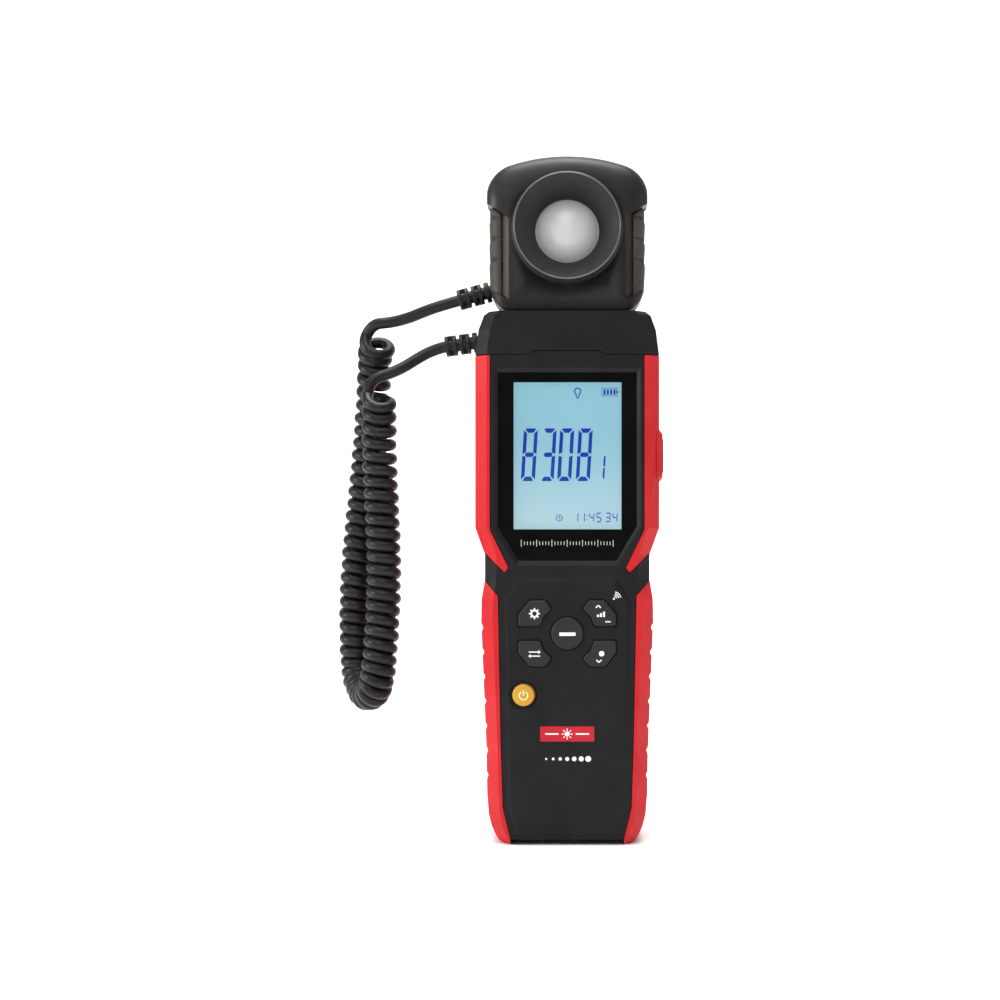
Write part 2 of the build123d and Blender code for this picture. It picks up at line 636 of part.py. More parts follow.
def tube(name, points, diameter):
    """A round tube along straight runs joined by arcs as large as the runs allow."""
    corners = [Vector(*point) for point in points]
    runs = [b - a for a, b in zip(corners, corners[1:])]
    bends = []
    for before, after in zip(runs, runs[1:]):
        half_turn = radians(before.get_angle(after)) / 2
        bends.append(0.45 * min(before.length, after.length) / tan(half_turn))
    path = FilletPolyline(*points, radius=bends)
    section = Plane(origin=path @ 0, z_dir=path % 0) * Circle(diameter / 2)
    solid = sweep(section, path=path)
    expected = pi * diameter**2 / 4 * path.length
    print(name, "radii", [round(bend, 1) for bend in bends], "length", round(path.length, 1))
    print(name, "volume over section x length", round(solid.volume / expected, 4))
    return solid


# ---- assembly ------------------------------------------------------------------------------------
def build():
    """Every node of the assembly by name."""
    shapes = key_shapes()
    skins = grip_skins(0.0)
    all_grips = grips()
    front, rear, pads = head_parts()
    board_front = PCB_Y - PCB_T
    nodes = {
        "grip_upper_left": all_grips[0],
        "grip_upper_right": all_grips[1],
        "grip_lower_left": all_grips[2],
        "grip_lower_right": all_grips[3],
        "front_cover": front_cover(shapes, skins),
        "rear_cover": rear_cover(skins),
        "top_cap": top_cap(),
        "display_window": slab(symmetric(WINDOW), GLASS_Y, GLASS_Y + WINDOW_THICK),
        "lcd_panel": slab(Pos(0, LCD_CENTRE_Z - 0.5) * Rectangle(LCD_W, LCD_H), LCD_Y, LCD_Y + 1.8),
        "backlight": slab(
            Pos(0, LCD_CENTRE_Z + 1.4) * Rectangle(LCD_W, LCD_H - 3.8), LCD_Y + 1.8, board_front - 0.3
        ),
        "zebra_strip": box(-17, 17, LCD_Y + 1.8, board_front, 91.2, 93.4),
        "lcd_frame": lcd_frame(),
        "main_board": main_board(),
        "mcu_chip": box(-5, 5, PCB_Y, PCB_Y + 1.2, 104, 114),
        "wireless_module": box(-6, 6, PCB_Y, PCB_Y + 1.8, 70, 79),
        "buzzer": rod(9.5, 128, 4.5, PCB_Y, PCB_Y + 3.2),
        "usb_socket": usb_socket(),
        "port_cover": port_cover(),
        "keypad_membrane": keypad_membrane(),
        "name_badge": slab(
            Pos(0, BADGE_Z) * RectangleRounded(BADGE_W, BADGE_H, 0.4), PANEL_Y - 0.2, PANEL_Y + 0.4
        ),
        "battery_door": battery_door(),
        "door_hinge_pin": Pos(0, DOOR_HINGE_Y, DOOR_HINGE_Z)
        * Rot(0, 90, 0)
        * Cylinder(0.75, 2 * DOOR_HALF + 4),
        "aaa_cells": Compound(cells()),
        "battery_springs": Compound(springs()),
        "battery_contacts": Compound(contact_plates()),
        "tripod_insert": rod(0, TRIPOD_Z, TRIPOD_R, REAR_Y - TRIPOD_LEN, REAR_Y)
        - rod(0, TRIPOD_Z, TRIPOD_BORE_R, 0, REAR_Y + 1),
        "body_screws": Compound(screws(SCREWS, REAR_Y - 0.9, 2.3, 14.0)),
        "body_strain_relief": strain_relief(BODY_EXIT, BODY_DROP),
        "head_strain_relief": strain_relief(HEAD_EXIT, HEAD_DROP),
        "head_front_shell": front,
        "head_rear_shell": rear,
        "head_pad_left": pads[0],
        "head_pad_right": pads[1],
        "head_screws": Compound(screws(HEAD_SCREWS, HEAD_REAR - 0.7, 2.3, 12.0)),
        "dock_tongue": dock_tongue(),
        "sensor_collar": collar(),
        "diffuser_dome": dome(),
        "dome_seal": ring(9.2, 12.0, DOME_Y + 1.5, DOME_Y + 2.5),
        "dome_retainer": ring(5.4, 13.4, DOME_Y + 2.5, DOME_Y + 4.3),
        "optical_filter": rod(0, EYE_Z, 6.6, DOME_Y + 4.3, DOME_Y + 5.7),
        "photodiode": rod(0, EYE_Z, 4.2, DOME_Y + 5.7, DOME_Y + 7.9),
        "sensor_board": rod(0, EYE_Z, 13.4, DOME_Y + 7.9, DOME_Y + 9.1),
        "cord_lead_head": tube("cord_lead_head", [*ROUTE[:COIL_FIRST], COIL_TOP], CORD_D),
        "cord_lead_body": tube("cord_lead_body", [COIL_END, *ROUTE[COIL_LAST + 1 :]], CORD_D),
        "cord_coil": tube("cord_coil", [COIL_TOP, *ROUTE[COIL_FIRST : COIL_LAST + 1], COIL_END], COIL_D),
    }
    for name, shape in shapes.items():
        nodes[name] = key(name, shape)
    return nodes


os.makedirs("parts", exist_ok=True)
for node, shape in build().items():
    export_step(shape, f"parts/{node}.step")
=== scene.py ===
import bpy
import bmesh
from math import atan2, ceil, cos, floor, pi, radians, sin, sqrt
from mathutils import Matrix, Vector


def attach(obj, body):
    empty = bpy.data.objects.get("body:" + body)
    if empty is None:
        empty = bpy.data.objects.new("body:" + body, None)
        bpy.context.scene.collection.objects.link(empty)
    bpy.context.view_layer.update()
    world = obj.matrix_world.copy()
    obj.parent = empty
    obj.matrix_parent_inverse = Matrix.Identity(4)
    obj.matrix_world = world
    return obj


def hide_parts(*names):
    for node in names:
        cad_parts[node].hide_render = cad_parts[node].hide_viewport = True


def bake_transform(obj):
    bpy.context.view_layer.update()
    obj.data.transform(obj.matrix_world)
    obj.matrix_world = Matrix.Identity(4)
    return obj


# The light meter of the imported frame, with its looks: cord, sensor head, casing, display, keys and materials.
# Blender works in metres. Sizes are in millimetres where at() or a mesh helper scales them. Lights, the
# floor, the cord and the grain of materials are in metres.
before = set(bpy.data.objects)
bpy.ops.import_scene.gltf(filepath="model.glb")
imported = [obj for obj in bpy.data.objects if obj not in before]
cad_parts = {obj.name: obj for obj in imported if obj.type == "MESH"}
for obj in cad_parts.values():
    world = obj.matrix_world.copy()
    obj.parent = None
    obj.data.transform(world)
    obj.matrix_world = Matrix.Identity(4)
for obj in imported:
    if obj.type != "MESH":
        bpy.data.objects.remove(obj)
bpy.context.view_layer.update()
MM = 0.001


# ---- camera, light and floor ---------------------------------------------------------------------
CAMERA_DISTANCE = 500.0  # from the front plane of the casing
CAMERA_HEIGHT = 103.6
FRONT_Y = -15.0
LENS, SENSOR, SHIFT_X = 60.0, 36.0, -0.0672


def at(x, y, z):
    """A point given in millimetres."""
    return Vector((x * MM, y * MM, z * MM))


def add_camera():
    """The picture's camera: level with the middle of the meter, which stands right of the centre."""
    data = bpy.data.cameras.new("camera")
    data.lens, data.sensor_width, data.shift_x = LENS, SENSOR, SHIFT_X
    camera = bpy.data.objects.new("camera", data)
    camera.location = at(0, FRONT_Y - CAMERA_DISTANCE, CAMERA_HEIGHT)
    camera.rotation_euler = (radians(90), 0.0, 0.0)
    bpy.context.collection.objects.link(camera)
    bpy.context.scene.camera = camera


def add_area(name, place, target, size, energy, colour=(1, 1, 1)):
    """A soft square light aimed at a point, in metres."""
    data = bpy.data.lights.new(name, "AREA")
    data.size, data.energy, data.color = size, energy, colour
    light = bpy.data.objects.new(name, data)
    light.location = place
    aim = Vector(target) - Vector(place)
    light.rotation_euler = aim.to_track_quat("-Z", "Y").to_euler()
    bpy.context.collection.objects.link(light)


def add_stage():
    """A pale floor that curves up into a pale backdrop."""
    radius, depth, width, height = 0.6, 1.2, 8.0, 3.0
    profile = [(-3.0, 0.0), (depth, 0.0)]
    turns = [radians(9 * step) for step in range(1, 11)]
    profile += [(depth + radius * sin(turn), radius * (1 - cos(turn))) for turn in turns]
    profile.append((depth + radius, height))
    count = len(profile)
    verts = [(x, y, z) for x in (-width / 2, width / 2) for y, z in profile]
    faces = [(i, i + count, i + count + 1, i + 1) for i in range(count - 1)]
    mesh = bpy.data.meshes.new("floor")
    mesh.from_pydata(verts, [], faces)
    mesh.polygons.foreach_set("use_smooth", [True] * len(faces))
    paper = bpy.data.materials.new("floor_paper")
    paper.use_nodes = True
    shader = paper.node_tree.nodes["Principled BSDF"]
    shader.inputs["Base Color"].default_value = (0.95, 0.95, 0.95, 1)
    shader.inputs["Roughness"].default_value = 0.9
    mesh.materials.append(paper)
    floor = bpy.data.objects.new("floor", mesh)
    bpy.context.collection.objects.link(floor)


def add_light():
    """Soft studio light from above, the front, the left and, weakly, the right, under a dim sky."""
    add_area("top_light", (-0.1, -0.25, 1.1), (0, 0.05, 0.08), 0.9, 7.0, (1.0, 0.99, 0.975))
    add_area("front_light", (-0.15, -0.95, 0.8), (0, 0, 0.1), 0.6, 3.2)
    add_area("left_light", (-0.9, -0.25, 0.35), (0, 0, 0.12), 0.3, 6.5, (1.0, 0.97, 0.94))
    add_area("right_light", (0.9, -0.2, 0.3), (0, 0, 0.12), 0.5, 1.0)
    add_area("backdrop_light", (0, 0.3, 2.0), (0, 1.5, 0.3), 1.2, 60)
    world = bpy.data.worlds.new("sky")
    bpy.context.scene.world = world
    world.use_nodes = True
    background = world.node_tree.nodes["Background"]
    background.inputs["Color"].default_value = (0.98, 0.985, 1.0, 1)
    background.inputs["Strength"].default_value = 0.2
    bpy.context.scene.view_settings.view_transform = "Standard"


# ---- materials -----------------------------------------------------------------------------------
def linear(value):
    """A display colour, 0 to 255, as linear light."""
    share = value / 255
    return share / 12.92 if share <= 0.04045 else ((share + 0.055) / 1.055) ** 2.4


def rgb(red, green, blue):
    """A colour given as display values."""
    return (linear(red), linear(green), linear(blue), 1.0)


def add_node(tree, kind, **values):
    """A shader node with its inputs set by name."""
    made = tree.nodes.new(kind)
    for name, value in values.items():
        made.inputs[name.replace("_", " ")].default_value = value
    return made


def noise(tree, scale, detail, coordinates):
    """A noise pattern of the given scale, in cells to the metre."""
    made = add_node(tree, "ShaderNodeTexNoise", Scale=scale, Detail=detail)
    tree.links.new(coordinates.outputs["Object"], made.inputs["Vector"])
    return made


def colour_between(tree, factor, first, second, low=0.35, high=0.65):
    """A ramp from one colour to another over a pattern."""
    ramp = tree.nodes.new("ShaderNodeValToRGB")
    ramp.color_ramp.elements[0].position = low
    ramp.color_ramp.elements[0].color = first
    ramp.color_ramp.elements[1].position = high
    ramp.color_ramp.elements[1].color = second
    tree.links.new(factor, ramp.inputs["Fac"])
    return ramp.outputs["Color"]


def spread(tree, factor, low, high):
    """A pattern turned into a number between two values."""
    made = add_node(tree, "ShaderNodeMapRange", To_Min=low, To_Max=high)
    tree.links.new(factor, made.inputs["Value"])
    return made.outputs["Result"]


def moulded(name, first, second, rough, grain=(2600, 0.00003), mottle=90, **sockets):
    """Moulded plastic, rubber or metal: two close colours in soft patches, a fine grain and uneven gloss.

    rough is the lowest and highest roughness, grain is the pattern's scale and its height in metres.
    """
    material = bpy.data.materials.new(name)
    material.use_nodes = True
    tree = material.node_tree
    shader = tree.nodes["Principled BSDF"]
    for socket, value in sockets.items():
        shader.inputs[socket.replace("_", " ")].default_value = value
    coordinates = tree.nodes.new("ShaderNodeTexCoord")
    patches = noise(tree, mottle, 4, coordinates)
    tree.links.new(colour_between(tree, patches.outputs["Fac"], first, second), shader.inputs["Base Color"])
    smears = noise(tree, mottle * 2.3, 3, coordinates)
    tree.links.new(spread(tree, smears.outputs["Fac"], *rough), shader.inputs["Roughness"])
    scale, height = grain
    fine = noise(tree, scale, 2, coordinates)
    bump = add_node(tree, "ShaderNodeBump", Strength=1.0, Distance=height)
    tree.links.new(fine.outputs["Fac"], bump.inputs["Height"])
    tree.links.new(bump.outputs["Normal"], shader.inputs["Normal"])
    return material


DRIFT = 0.35  # how much a slow noise shifts a display's gradient


def lit(name, first, second, strength, axis, low, high):
    """A glowing surface with a gradient along one axis, for the display and what it shows."""
    material = bpy.data.materials.new(name)
    material.use_nodes = True
    tree = material.node_tree
    shader = tree.nodes["Principled BSDF"]
    shader.inputs["Roughness"].default_value = 0.4
    shader.inputs["Emission Strength"].default_value = strength
    shader.inputs["Specular IOR Level"].default_value = 0.1
    coordinates = tree.nodes.new("ShaderNodeTexCoord")
    split = tree.nodes.new("ShaderNodeSeparateXYZ")
    tree.links.new(coordinates.outputs["Object"], split.inputs["Vector"])
    drift = noise(tree, 30, 2, coordinates)
    place = add_node(tree, "ShaderNodeMapRange")
    place.inputs["From Min"].default_value = low
    place.inputs["From Max"].default_value = high
    tree.links.new(split.outputs[axis], place.inputs["Value"])
    blend = tree.nodes.new("ShaderNodeMath")
    blend.operation = "MULTIPLY_ADD"
    blend.inputs[1].default_value = DRIFT
    tree.links.new(drift.outputs["Fac"], blend.inputs[0])
    tree.links.new(place.outputs["Result"], blend.inputs[2])
    colour = colour_between(tree, blend.outputs["Value"], first, second, 0.15, 1.15 / (1 + DRIFT))
    tree.links.new(colour, shader.inputs["Emission Color"])
    dark = tree.nodes.new("ShaderNodeMixRGB")
    dark.inputs["Fac"].default_value = 0.8
    dark.inputs["Color2"].default_value = (0, 0, 0, 1)
    tree.links.new(colour, dark.inputs["Color1"])
    tree.links.new(dark.outputs["Color"], shader.inputs["Base Color"])
    return material


RUBBER_GRAIN = (3200, 0.00002)
CASE_GRAIN = (4200, 0.000022)
METAL_GRAIN = (3000, 0.00001)
PRINT_GRAIN = (5000, 0.00001)
MATERIALS = {
    "red_rubber": moulded(
        "red_rubber", rgb(178, 22, 29), rgb(186, 29, 35), (0.4, 0.5), RUBBER_GRAIN, Specular_IOR_Level=0.2
    ),
    "black_case": moulded(
        "black_case", rgb(20, 20, 22), rgb(25, 25, 27), (0.4, 0.54), CASE_GRAIN, Specular_IOR_Level=0.14
    ),
    "head_case": moulded(
        "head_case", rgb(29, 27, 25), rgb(36, 34, 31), (0.36, 0.5), CASE_GRAIN, Specular_IOR_Level=0.22
    ),
    "head_pad": moulded(
        "head_pad", rgb(52, 48, 44), rgb(62, 57, 52), (0.5, 0.66), RUBBER_GRAIN, Specular_IOR_Level=0.3
    ),
    "collar": moulded(
        "collar", rgb(34, 35, 35), rgb(40, 41, 40), (0.36, 0.48), CASE_GRAIN, Specular_IOR_Level=0.3
    ),
    # The rim's lighter grey is partly painted highlight: it stands in for the bright line that light draws
    # along the rim's edge, on top of the bead's real gloss.
    "collar_rim": moulded(
        "collar_rim", rgb(84, 84, 81), rgb(98, 98, 94), (0.22, 0.32), CASE_GRAIN, Specular_IOR_Level=0.6
    ),
    "window": moulded(
        "window", rgb(6, 6, 7), rgb(10, 10, 11), (0.06, 0.12), (900, 0.000002), Specular_IOR_Level=0.15
    ),
    "backlight": moulded("backlight", rgb(225, 228, 230), rgb(240, 242, 244), (0.3, 0.4)),
    "inner_plastic": moulded("inner_plastic", rgb(60, 60, 62), rgb(72, 72, 74), (0.4, 0.6)),
    "board": moulded("board", rgb(18, 84, 48), rgb(26, 104, 60), (0.3, 0.45), (1500, 0.00004), 700),
    "chip": moulded("chip", rgb(22, 22, 24), rgb(34, 34, 36), (0.4, 0.55)),
    "steel": moulded(
        "steel", rgb(168, 170, 172), rgb(190, 192, 194), (0.22, 0.38), METAL_GRAIN, Metallic=1.0
    ),
    "brass": moulded(
        "brass", rgb(196, 158, 84), rgb(214, 178, 102), (0.25, 0.4), METAL_GRAIN, Metallic=1.0
    ),
    "cell": moulded("cell", rgb(30, 74, 52), rgb(36, 88, 62), (0.25, 0.35), METAL_GRAIN),
    "silicone": moulded("silicone", rgb(150, 152, 156), rgb(168, 170, 174), (0.45, 0.6)),
    "key": moulded(
        "key", rgb(27, 28, 30), rgb(41, 42, 45), (0.46, 0.6), (5200, 0.00005), 5200, Specular_IOR_Level=0.2
    ),
    "power": moulded("power", rgb(186, 136, 28), rgb(194, 146, 38), (0.4, 0.52), RUBBER_GRAIN),
    "badge": moulded(
        "badge", rgb(172, 18, 36), rgb(180, 24, 42), (0.3, 0.42), METAL_GRAIN, Specular_IOR_Level=0.25
    ),
    "print": moulded("print", rgb(222, 223, 224), rgb(236, 237, 238), (0.5, 0.6), PRINT_GRAIN),
    "faint_print": moulded("faint_print", rgb(165, 165, 166), rgb(185, 185, 186), (0.5, 0.6), PRINT_GRAIN),
    "cream_print": moulded("cream_print", rgb(250, 226, 176), rgb(253, 233, 190), (0.5, 0.6), PRINT_GRAIN),
    # The dome's faint emission is painted light: the diffuser glows a little, though it is no lamp, so that its
    # shading stays flat and even.
    "dome": moulded(
        "dome", rgb(160, 160, 159), rgb(166, 166, 165), (0.26, 0.34), (1500, 0.000004),
        Emission_Color=(1.0, 0.99, 0.975, 1), Emission_Strength=0.16
    ),
    "filter": moulded("filter", rgb(70, 110, 96), rgb(84, 126, 110), (0.05, 0.1), (1500, 0.000002)),
    "cord": moulded(
        "cord", rgb(19, 19, 20), rgb(25, 25, 25), (0.34, 0.46), (2600, 0.00002), 160, Specular_IOR_Level=0.22
    ),
    "relief": moulded(
        "relief", rgb(18, 18, 19), rgb(25, 25, 26), (0.34, 0.48), RUBBER_GRAIN, Specular_IOR_Level=0.25
    ),
    "lcd": lit("lcd", rgb(184, 217, 228), rgb(146, 198, 214), 0.78, "Z", 0.094, 0.135),
    "lcd_ink": lit("lcd_ink", rgb(6, 80, 182), rgb(24, 56, 178), 0.66, "Z", 0.108, 0.126),
}


# ---- mesh helpers --------------------------------------------------------------------------------
def make_object(name, verts, faces, sharp=35):
    """A mesh object from points in millimetres: faces turned outward, edges sharp above an angle."""
    mesh = bpy.data.meshes.new(name)
    mesh.from_pydata([at(*point) for point in verts], [], faces)
    edit = bmesh.new()
    edit.from_mesh(mesh)
    bmesh.ops.recalc_face_normals(edit, faces=edit.faces)
    edit.to_mesh(mesh)
    edit.free()
    mesh.polygons.foreach_set("use_smooth", [True] * len(mesh.polygons))
    mesh.set_sharp_from_angle(angle=radians(sharp))
    made = bpy.data.objects.new(name, mesh)
    bpy.context.collection.objects.link(made)
    return made


def settle(obj, body, material, replaces=()):
    """Gives a piece its material, the body it rides on and the nodes it stands for."""
    obj.data.materials.clear()
    obj.data.materials.append(MATERIALS[material])
    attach(obj, body)
    if replaces:
        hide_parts(*replaces)
    return obj


def bake_modifiers(obj):
    """Puts what the modifiers make into the object's mesh."""
    shown = obj.evaluated_get(bpy.context.evaluated_depsgraph_get())
    mesh = bpy.data.meshes.new_from_object(shown)
    obj.modifiers.clear()
    obj.data = mesh
    return obj


def prisms(outlines, y_front, y_rear):
    """Points and faces of flat shapes given as front outlines and standing between two depths."""
    verts, faces = [], []
    for outline in outlines:
        start, count = len(verts), len(outline)
        verts += [(x, y, z) for y in (y_front, y_rear) for x, z in outline]
        faces.append([start + i for i in range(count)])
        faces.append([start + count + i for i in reversed(range(count))])
        for i in range(count):
            j = (i + 1) % count
            faces.append([start + i, start + j, start + count + j, start + count + i])
    return verts, faces


def lathe(profile, centre_z, segments=128, centre_x=0.0):
    """Points and faces of a closed (radius, y) profile turned about an axis along Y."""
    verts, faces, rows = [], [], []
    for radius, y in profile:
        if radius == 0:
            rows.append([len(verts)] * segments)
            verts.append((centre_x, y, centre_z))
            continue
        rows.append(range(len(verts), len(verts) + segments))
        for step in range(segments):
            turn = 2 * pi * step / segments
            verts.append((centre_x + radius * cos(turn), y, centre_z + radius * sin(turn)))
    for first, second in zip(rows, rows[1:] + rows[:1]):
        for i in range(segments):
            j = (i + 1) % segments
            corners = [first[i], first[j], second[j], second[i]]
            face = [corner for n, corner in enumerate(corners) if corner not in corners[:n]]
            if len(face) > 2:
                faces.append(face)
    return verts, faces


def skin_rows(rows, closed_rows=False, closed_columns=True):
    """Points and faces of a surface through rows of equally many points."""
    count = len(rows[0])
    verts = [point for row in rows for point in row]
    faces = []
    for r in range(len(rows) if closed_rows else len(rows) - 1):
        s = (r + 1) % len(rows)
        for i in range(count if closed_columns else count - 1):
            j = (i + 1) % count
            faces.append([r * count + i, r * count + j, s * count + j, s * count + i])
    return verts, faces


def arc(x, z, radius, first, last, steps):
    """Points along a circle between two angles in degrees."""
    angles = [radians(first + (last - first) * step / steps) for step in range(steps + 1)]
    return [(x + radius * cos(angle), z + radius * sin(angle)) for angle in angles]


def soften(node, width, angle=28, segments=2):
    """Rounds the edges of a CAD node a little, with modifiers that leave its mesh as it is."""
    weld = node.modifiers.new("weld", "WELD")
    weld.merge_threshold = 0.002 * MM
    bevel = node.modifiers.new("bevel", "BEVEL")
    bevel.width = width * MM
    bevel.segments = segments
    bevel.limit_method = "ANGLE"
    bevel.angle_limit = radians(angle)
    bevel.harden_normals = True


# ---- curly cord ----------------------------------------------------------------------------------
# The route's points, from the head's strain relief down the rear leg, round the bend and up the front leg.
ROUTE = [
    (-0.03431, 0.0005, 0.16502),
    (-0.04076, 0.0005, 0.16322),
    (-0.04760, 0.0013, 0.16060),
    (-0.05330, 0.0034, 0.15840),
    (-0.05830, 0.0052, 0.15480),
    (-0.06010, 0.0063, 0.15000),
    (-0.06060, 0.0067, 0.13750),
    (-0.06180, 0.0068, 0.12000),
    (-0.06350, 0.0068, 0.10300),
    (-0.06520, 0.0066, 0.08700),
    (-0.06610, 0.0068, 0.07100),
    (-0.06610, 0.0077, 0.05650),
    (-0.06530, 0.0073, 0.04720),
    (-0.06150, 0.0007, 0.04260),
    (-0.05810, -0.0060, 0.04700),
    (-0.05710, -0.0064, 0.05600),
    (-0.05630, -0.0055, 0.06850),
    (-0.05600, -0.0050, 0.08200),
    (-0.05640, -0.0051, 0.09550),
    (-0.05710, -0.0050, 0.10900),
    (-0.05750, -0.0051, 0.12100),
    (-0.05750, -0.0050, 0.13100),
    (-0.05750, -0.0050, 0.13560),
    (-0.05690, -0.0043, 0.13900),
    (-0.05200, -0.0027, 0.14320),
    (-0.04640, -0.0008, 0.14710),
    (-0.04186, 0.0005, 0.14980),
    (-0.03810, 0.0005, 0.15085),
]
CORD_D = 0.0036
COIL_R = 0.0036  # from the coil's axis to the middle of the cord
COIL_PITCH = 0.00388
# Heights where the turns begin on the rear leg and end on the front leg.
COIL_Z_TOP, COIL_Z_END = 0.1540, 0.1360
TURN_POINTS = 24
LEAD_IN = 0.014  # the length over which the cord moves from the axis out to the turns
PACKING = 0.7  # how much closer the turns are wound in a bend, so that its outer side stays closed
# How far the first turns of a leg tip to the front, and over what length they do.
LEAN, LEAN_SPAN = 0.62, 0.03
UNEVEN, FIRST_SWELL = 0.025, 0.16  # how much wider turns get here and there, and at the first turn
LEFT = Vector((-1.0, 0.0, 0.0))


def route_line():
    """Points along the route's smooth line, a NURBS spline."""
    curve = bpy.data.curves.new("route", "CURVE")
    curve.dimensions = "3D"
    curve.resolution_u = 60
    spline = curve.splines.new("NURBS")
    spline.points.add(len(ROUTE) - 1)
    for point, place in zip(spline.points, ROUTE):
        point.co = (*place, 1.0)
    spline.order_u = 3
    spline.use_endpoint_u = True
    holder = bpy.data.objects.new("route", curve)
    mesh = bpy.data.meshes.new_from_object(holder)
    line = [vert.co.copy() for vert in mesh.vertices]
    bpy.data.objects.remove(holder)
    return line


class Line:
    """A polyline that gives places and directions at distances along it."""

    def __init__(self, points):
        self.points = points
        self.reach = [0.0]
        for a, b in zip(points, points[1:]):
            self.reach.append(self.reach[-1] + (b - a).length)
        self.length = self.reach[-1]

    def place(self, s):
        s = min(max(s, 0.0), self.length)
        low, high = 0, len(self.points) - 1
        while high - low > 1:
            middle = (low + high) // 2
            if self.reach[middle] <= s:
                low = middle
            else:
                high = middle
        span = self.reach[high] - self.reach[low]
        return self.points[low].lerp(self.points[high], (s - self.reach[low]) / span if span else 0.0)

    def heading(self, s, half=0.0008):
        return (self.place(s + half) - self.place(s - half)).normalized()

    def bend(self, s, half=0.0045):
        """One over the radius of the bend around a distance."""
        return (self.heading(s + half) - self.heading(s - half)).length / (2 * half)


def ease(share):
    """A smooth step from 0 to 1."""
    share = min(max(share, 0.0), 1.0)
    return share * share * (3 - 2 * share)


def coiled_path():
    """The cord's middle line: the route, wound into turns on its two legs and fanned out round the bend."""
    line = Line(route_line())
    lowest = min(range(len(line.points)), key=lambda i: line.points[i].z)
    top = next(i for i in range(lowest) if line.points[i].z < COIL_Z_TOP)
    end = next(i for i in range(len(line.points) - 1, lowest, -1) if line.points[i].z < COIL_Z_END)
    first, last = line.reach[top], line.reach[end]
    step = COIL_PITCH / TURN_POINTS

    def lean(s):
        """How far the turns tip to the front: most at the coil's two ends."""
        return LEAN * ease(1 - min(s - first, last - s) / LEAN_SPAN)

    def pitch(s):
        """Turns are wound closer in a bend, where they fan out, and wider where they tip."""
        tipping = COIL_R * abs(lean(s + step) - lean(s - step)) / (2 * step)
        return COIL_PITCH / (1 + PACKING * (COIL_R + CORD_D / 2) * line.bend(s)) / (1 - tipping)

    def rate(s):
        """Radians of turn for each metre of route."""
        start_up = ease((s - first) / (0.8 * COIL_PITCH)) * ease((last - s) / (0.8 * COIL_PITCH))
        return 2 * pi / pitch(s) * start_up

    count = ceil((last - first) / step)
    total = sum(rate(first + step * i) * step for i in range(count))
    scale = 2 * pi * round(total / (2 * pi)) / total
    path, s, phase = [], 0.0, 0.0
    while s < line.length - 0.3 * step:
        out = ease((s - first + LEAD_IN) / LEAD_IN) * ease((last + LEAD_IN - s) / LEAD_IN)
        forward = line.heading(s)
        left = (LEFT - forward * LEFT.dot(forward) * out).normalized()
        side = forward.cross(left)
        swell = 1 + UNEVEN * sin(0.37 * phase) * out + FIRST_SWELL * ease(1 - (s - first) / (2 * COIL_PITCH))
        radius = COIL_R * out * swell
        tip = lean(s) * sin(phase)
        path.append(line.place(s) + radius * (cos(phase) * left - sin(phase) * side + tip * forward))
        in_coil = first <= s <= last
        advance = step * pitch(s) / COIL_PITCH if in_coil else 0.0009
        phase += rate(s) * scale * advance if in_coil else 0.0
        s += advance
    path.append(line.place(line.length))
    return path


def tube(name, path, radius, sides=12):
    """A closed round tube along a path in metres."""
    forward = [(b - a).normalized() for a, b in zip(path, path[1:])]
    forward.append(forward[-1])
    across = forward[0].orthogonal().normalized()
    rows = []
    for i, place in enumerate(path):
        heading = forward[0] if i == 0 else (forward[i - 1] + forward[i]).normalized()
        across = (across - heading * across.dot(heading)).normalized()
        up = heading.cross(across)
        turns = [2 * pi * n / sides for n in range(sides)]
        rows.append([(place + radius * (cos(t) * across + sin(t) * up)) / MM for t in turns])
    verts, faces = skin_rows(rows)
    last = len(verts) - sides
    faces += [list(reversed(range(sides))), list(range(last, last + sides))]
    return make_object(name, verts, faces, 60)


# ---- strain reliefs ------------------------------------------------------------------------------
RELIEF_CORE, RELIEF_RIB, RELIEF_END = 2.0, 3.2, 10.9
RELIEF_DISC = 1.15  # thickness of the discs at a block's two faces
# Where the discs start and end along the axis, from the wall.
RELIEF_DISCS = [(-0.2, 1.3), (2.2, 3.35), (4.25, 5.4), (6.3, 7.45), (8.75, 9.9)]
RELIEF_BLOCKS = [(2.2, 5.4), (6.3, 9.9)]  # each a pair of discs with a cross of webs between them


def relief_profile():
    """(radius, distance) of a strain relief: a flange in the wall, a neck and its discs."""
    edge = 0.2
    profile = [(0, -4.8), (3.6, -4.8), (3.6, -3.6), (RELIEF_CORE, -3.6)]
    for low, high in RELIEF_DISCS:
        profile += [(RELIEF_CORE, low), (RELIEF_RIB - edge, low), (RELIEF_RIB, low + edge)]
        profile += [(RELIEF_RIB, high - edge), (RELIEF_RIB - edge, high), (RELIEF_CORE, high)]
    profile.pop()
    tip = CORD_D / 2 / MM - 0.02
    return profile + [(tip, RELIEF_DISCS[-1][1]), (tip, RELIEF_END), (0, RELIEF_END)]


def cross(reach, half):
    """The outline of a cross with four equal arms."""
    quarter = [(reach, -half), (reach, half), (half, half)]
    outline = []
    for _ in range(4):
        outline += quarter
        quarter = [(-z, x) for x, z in quarter]
    return outline


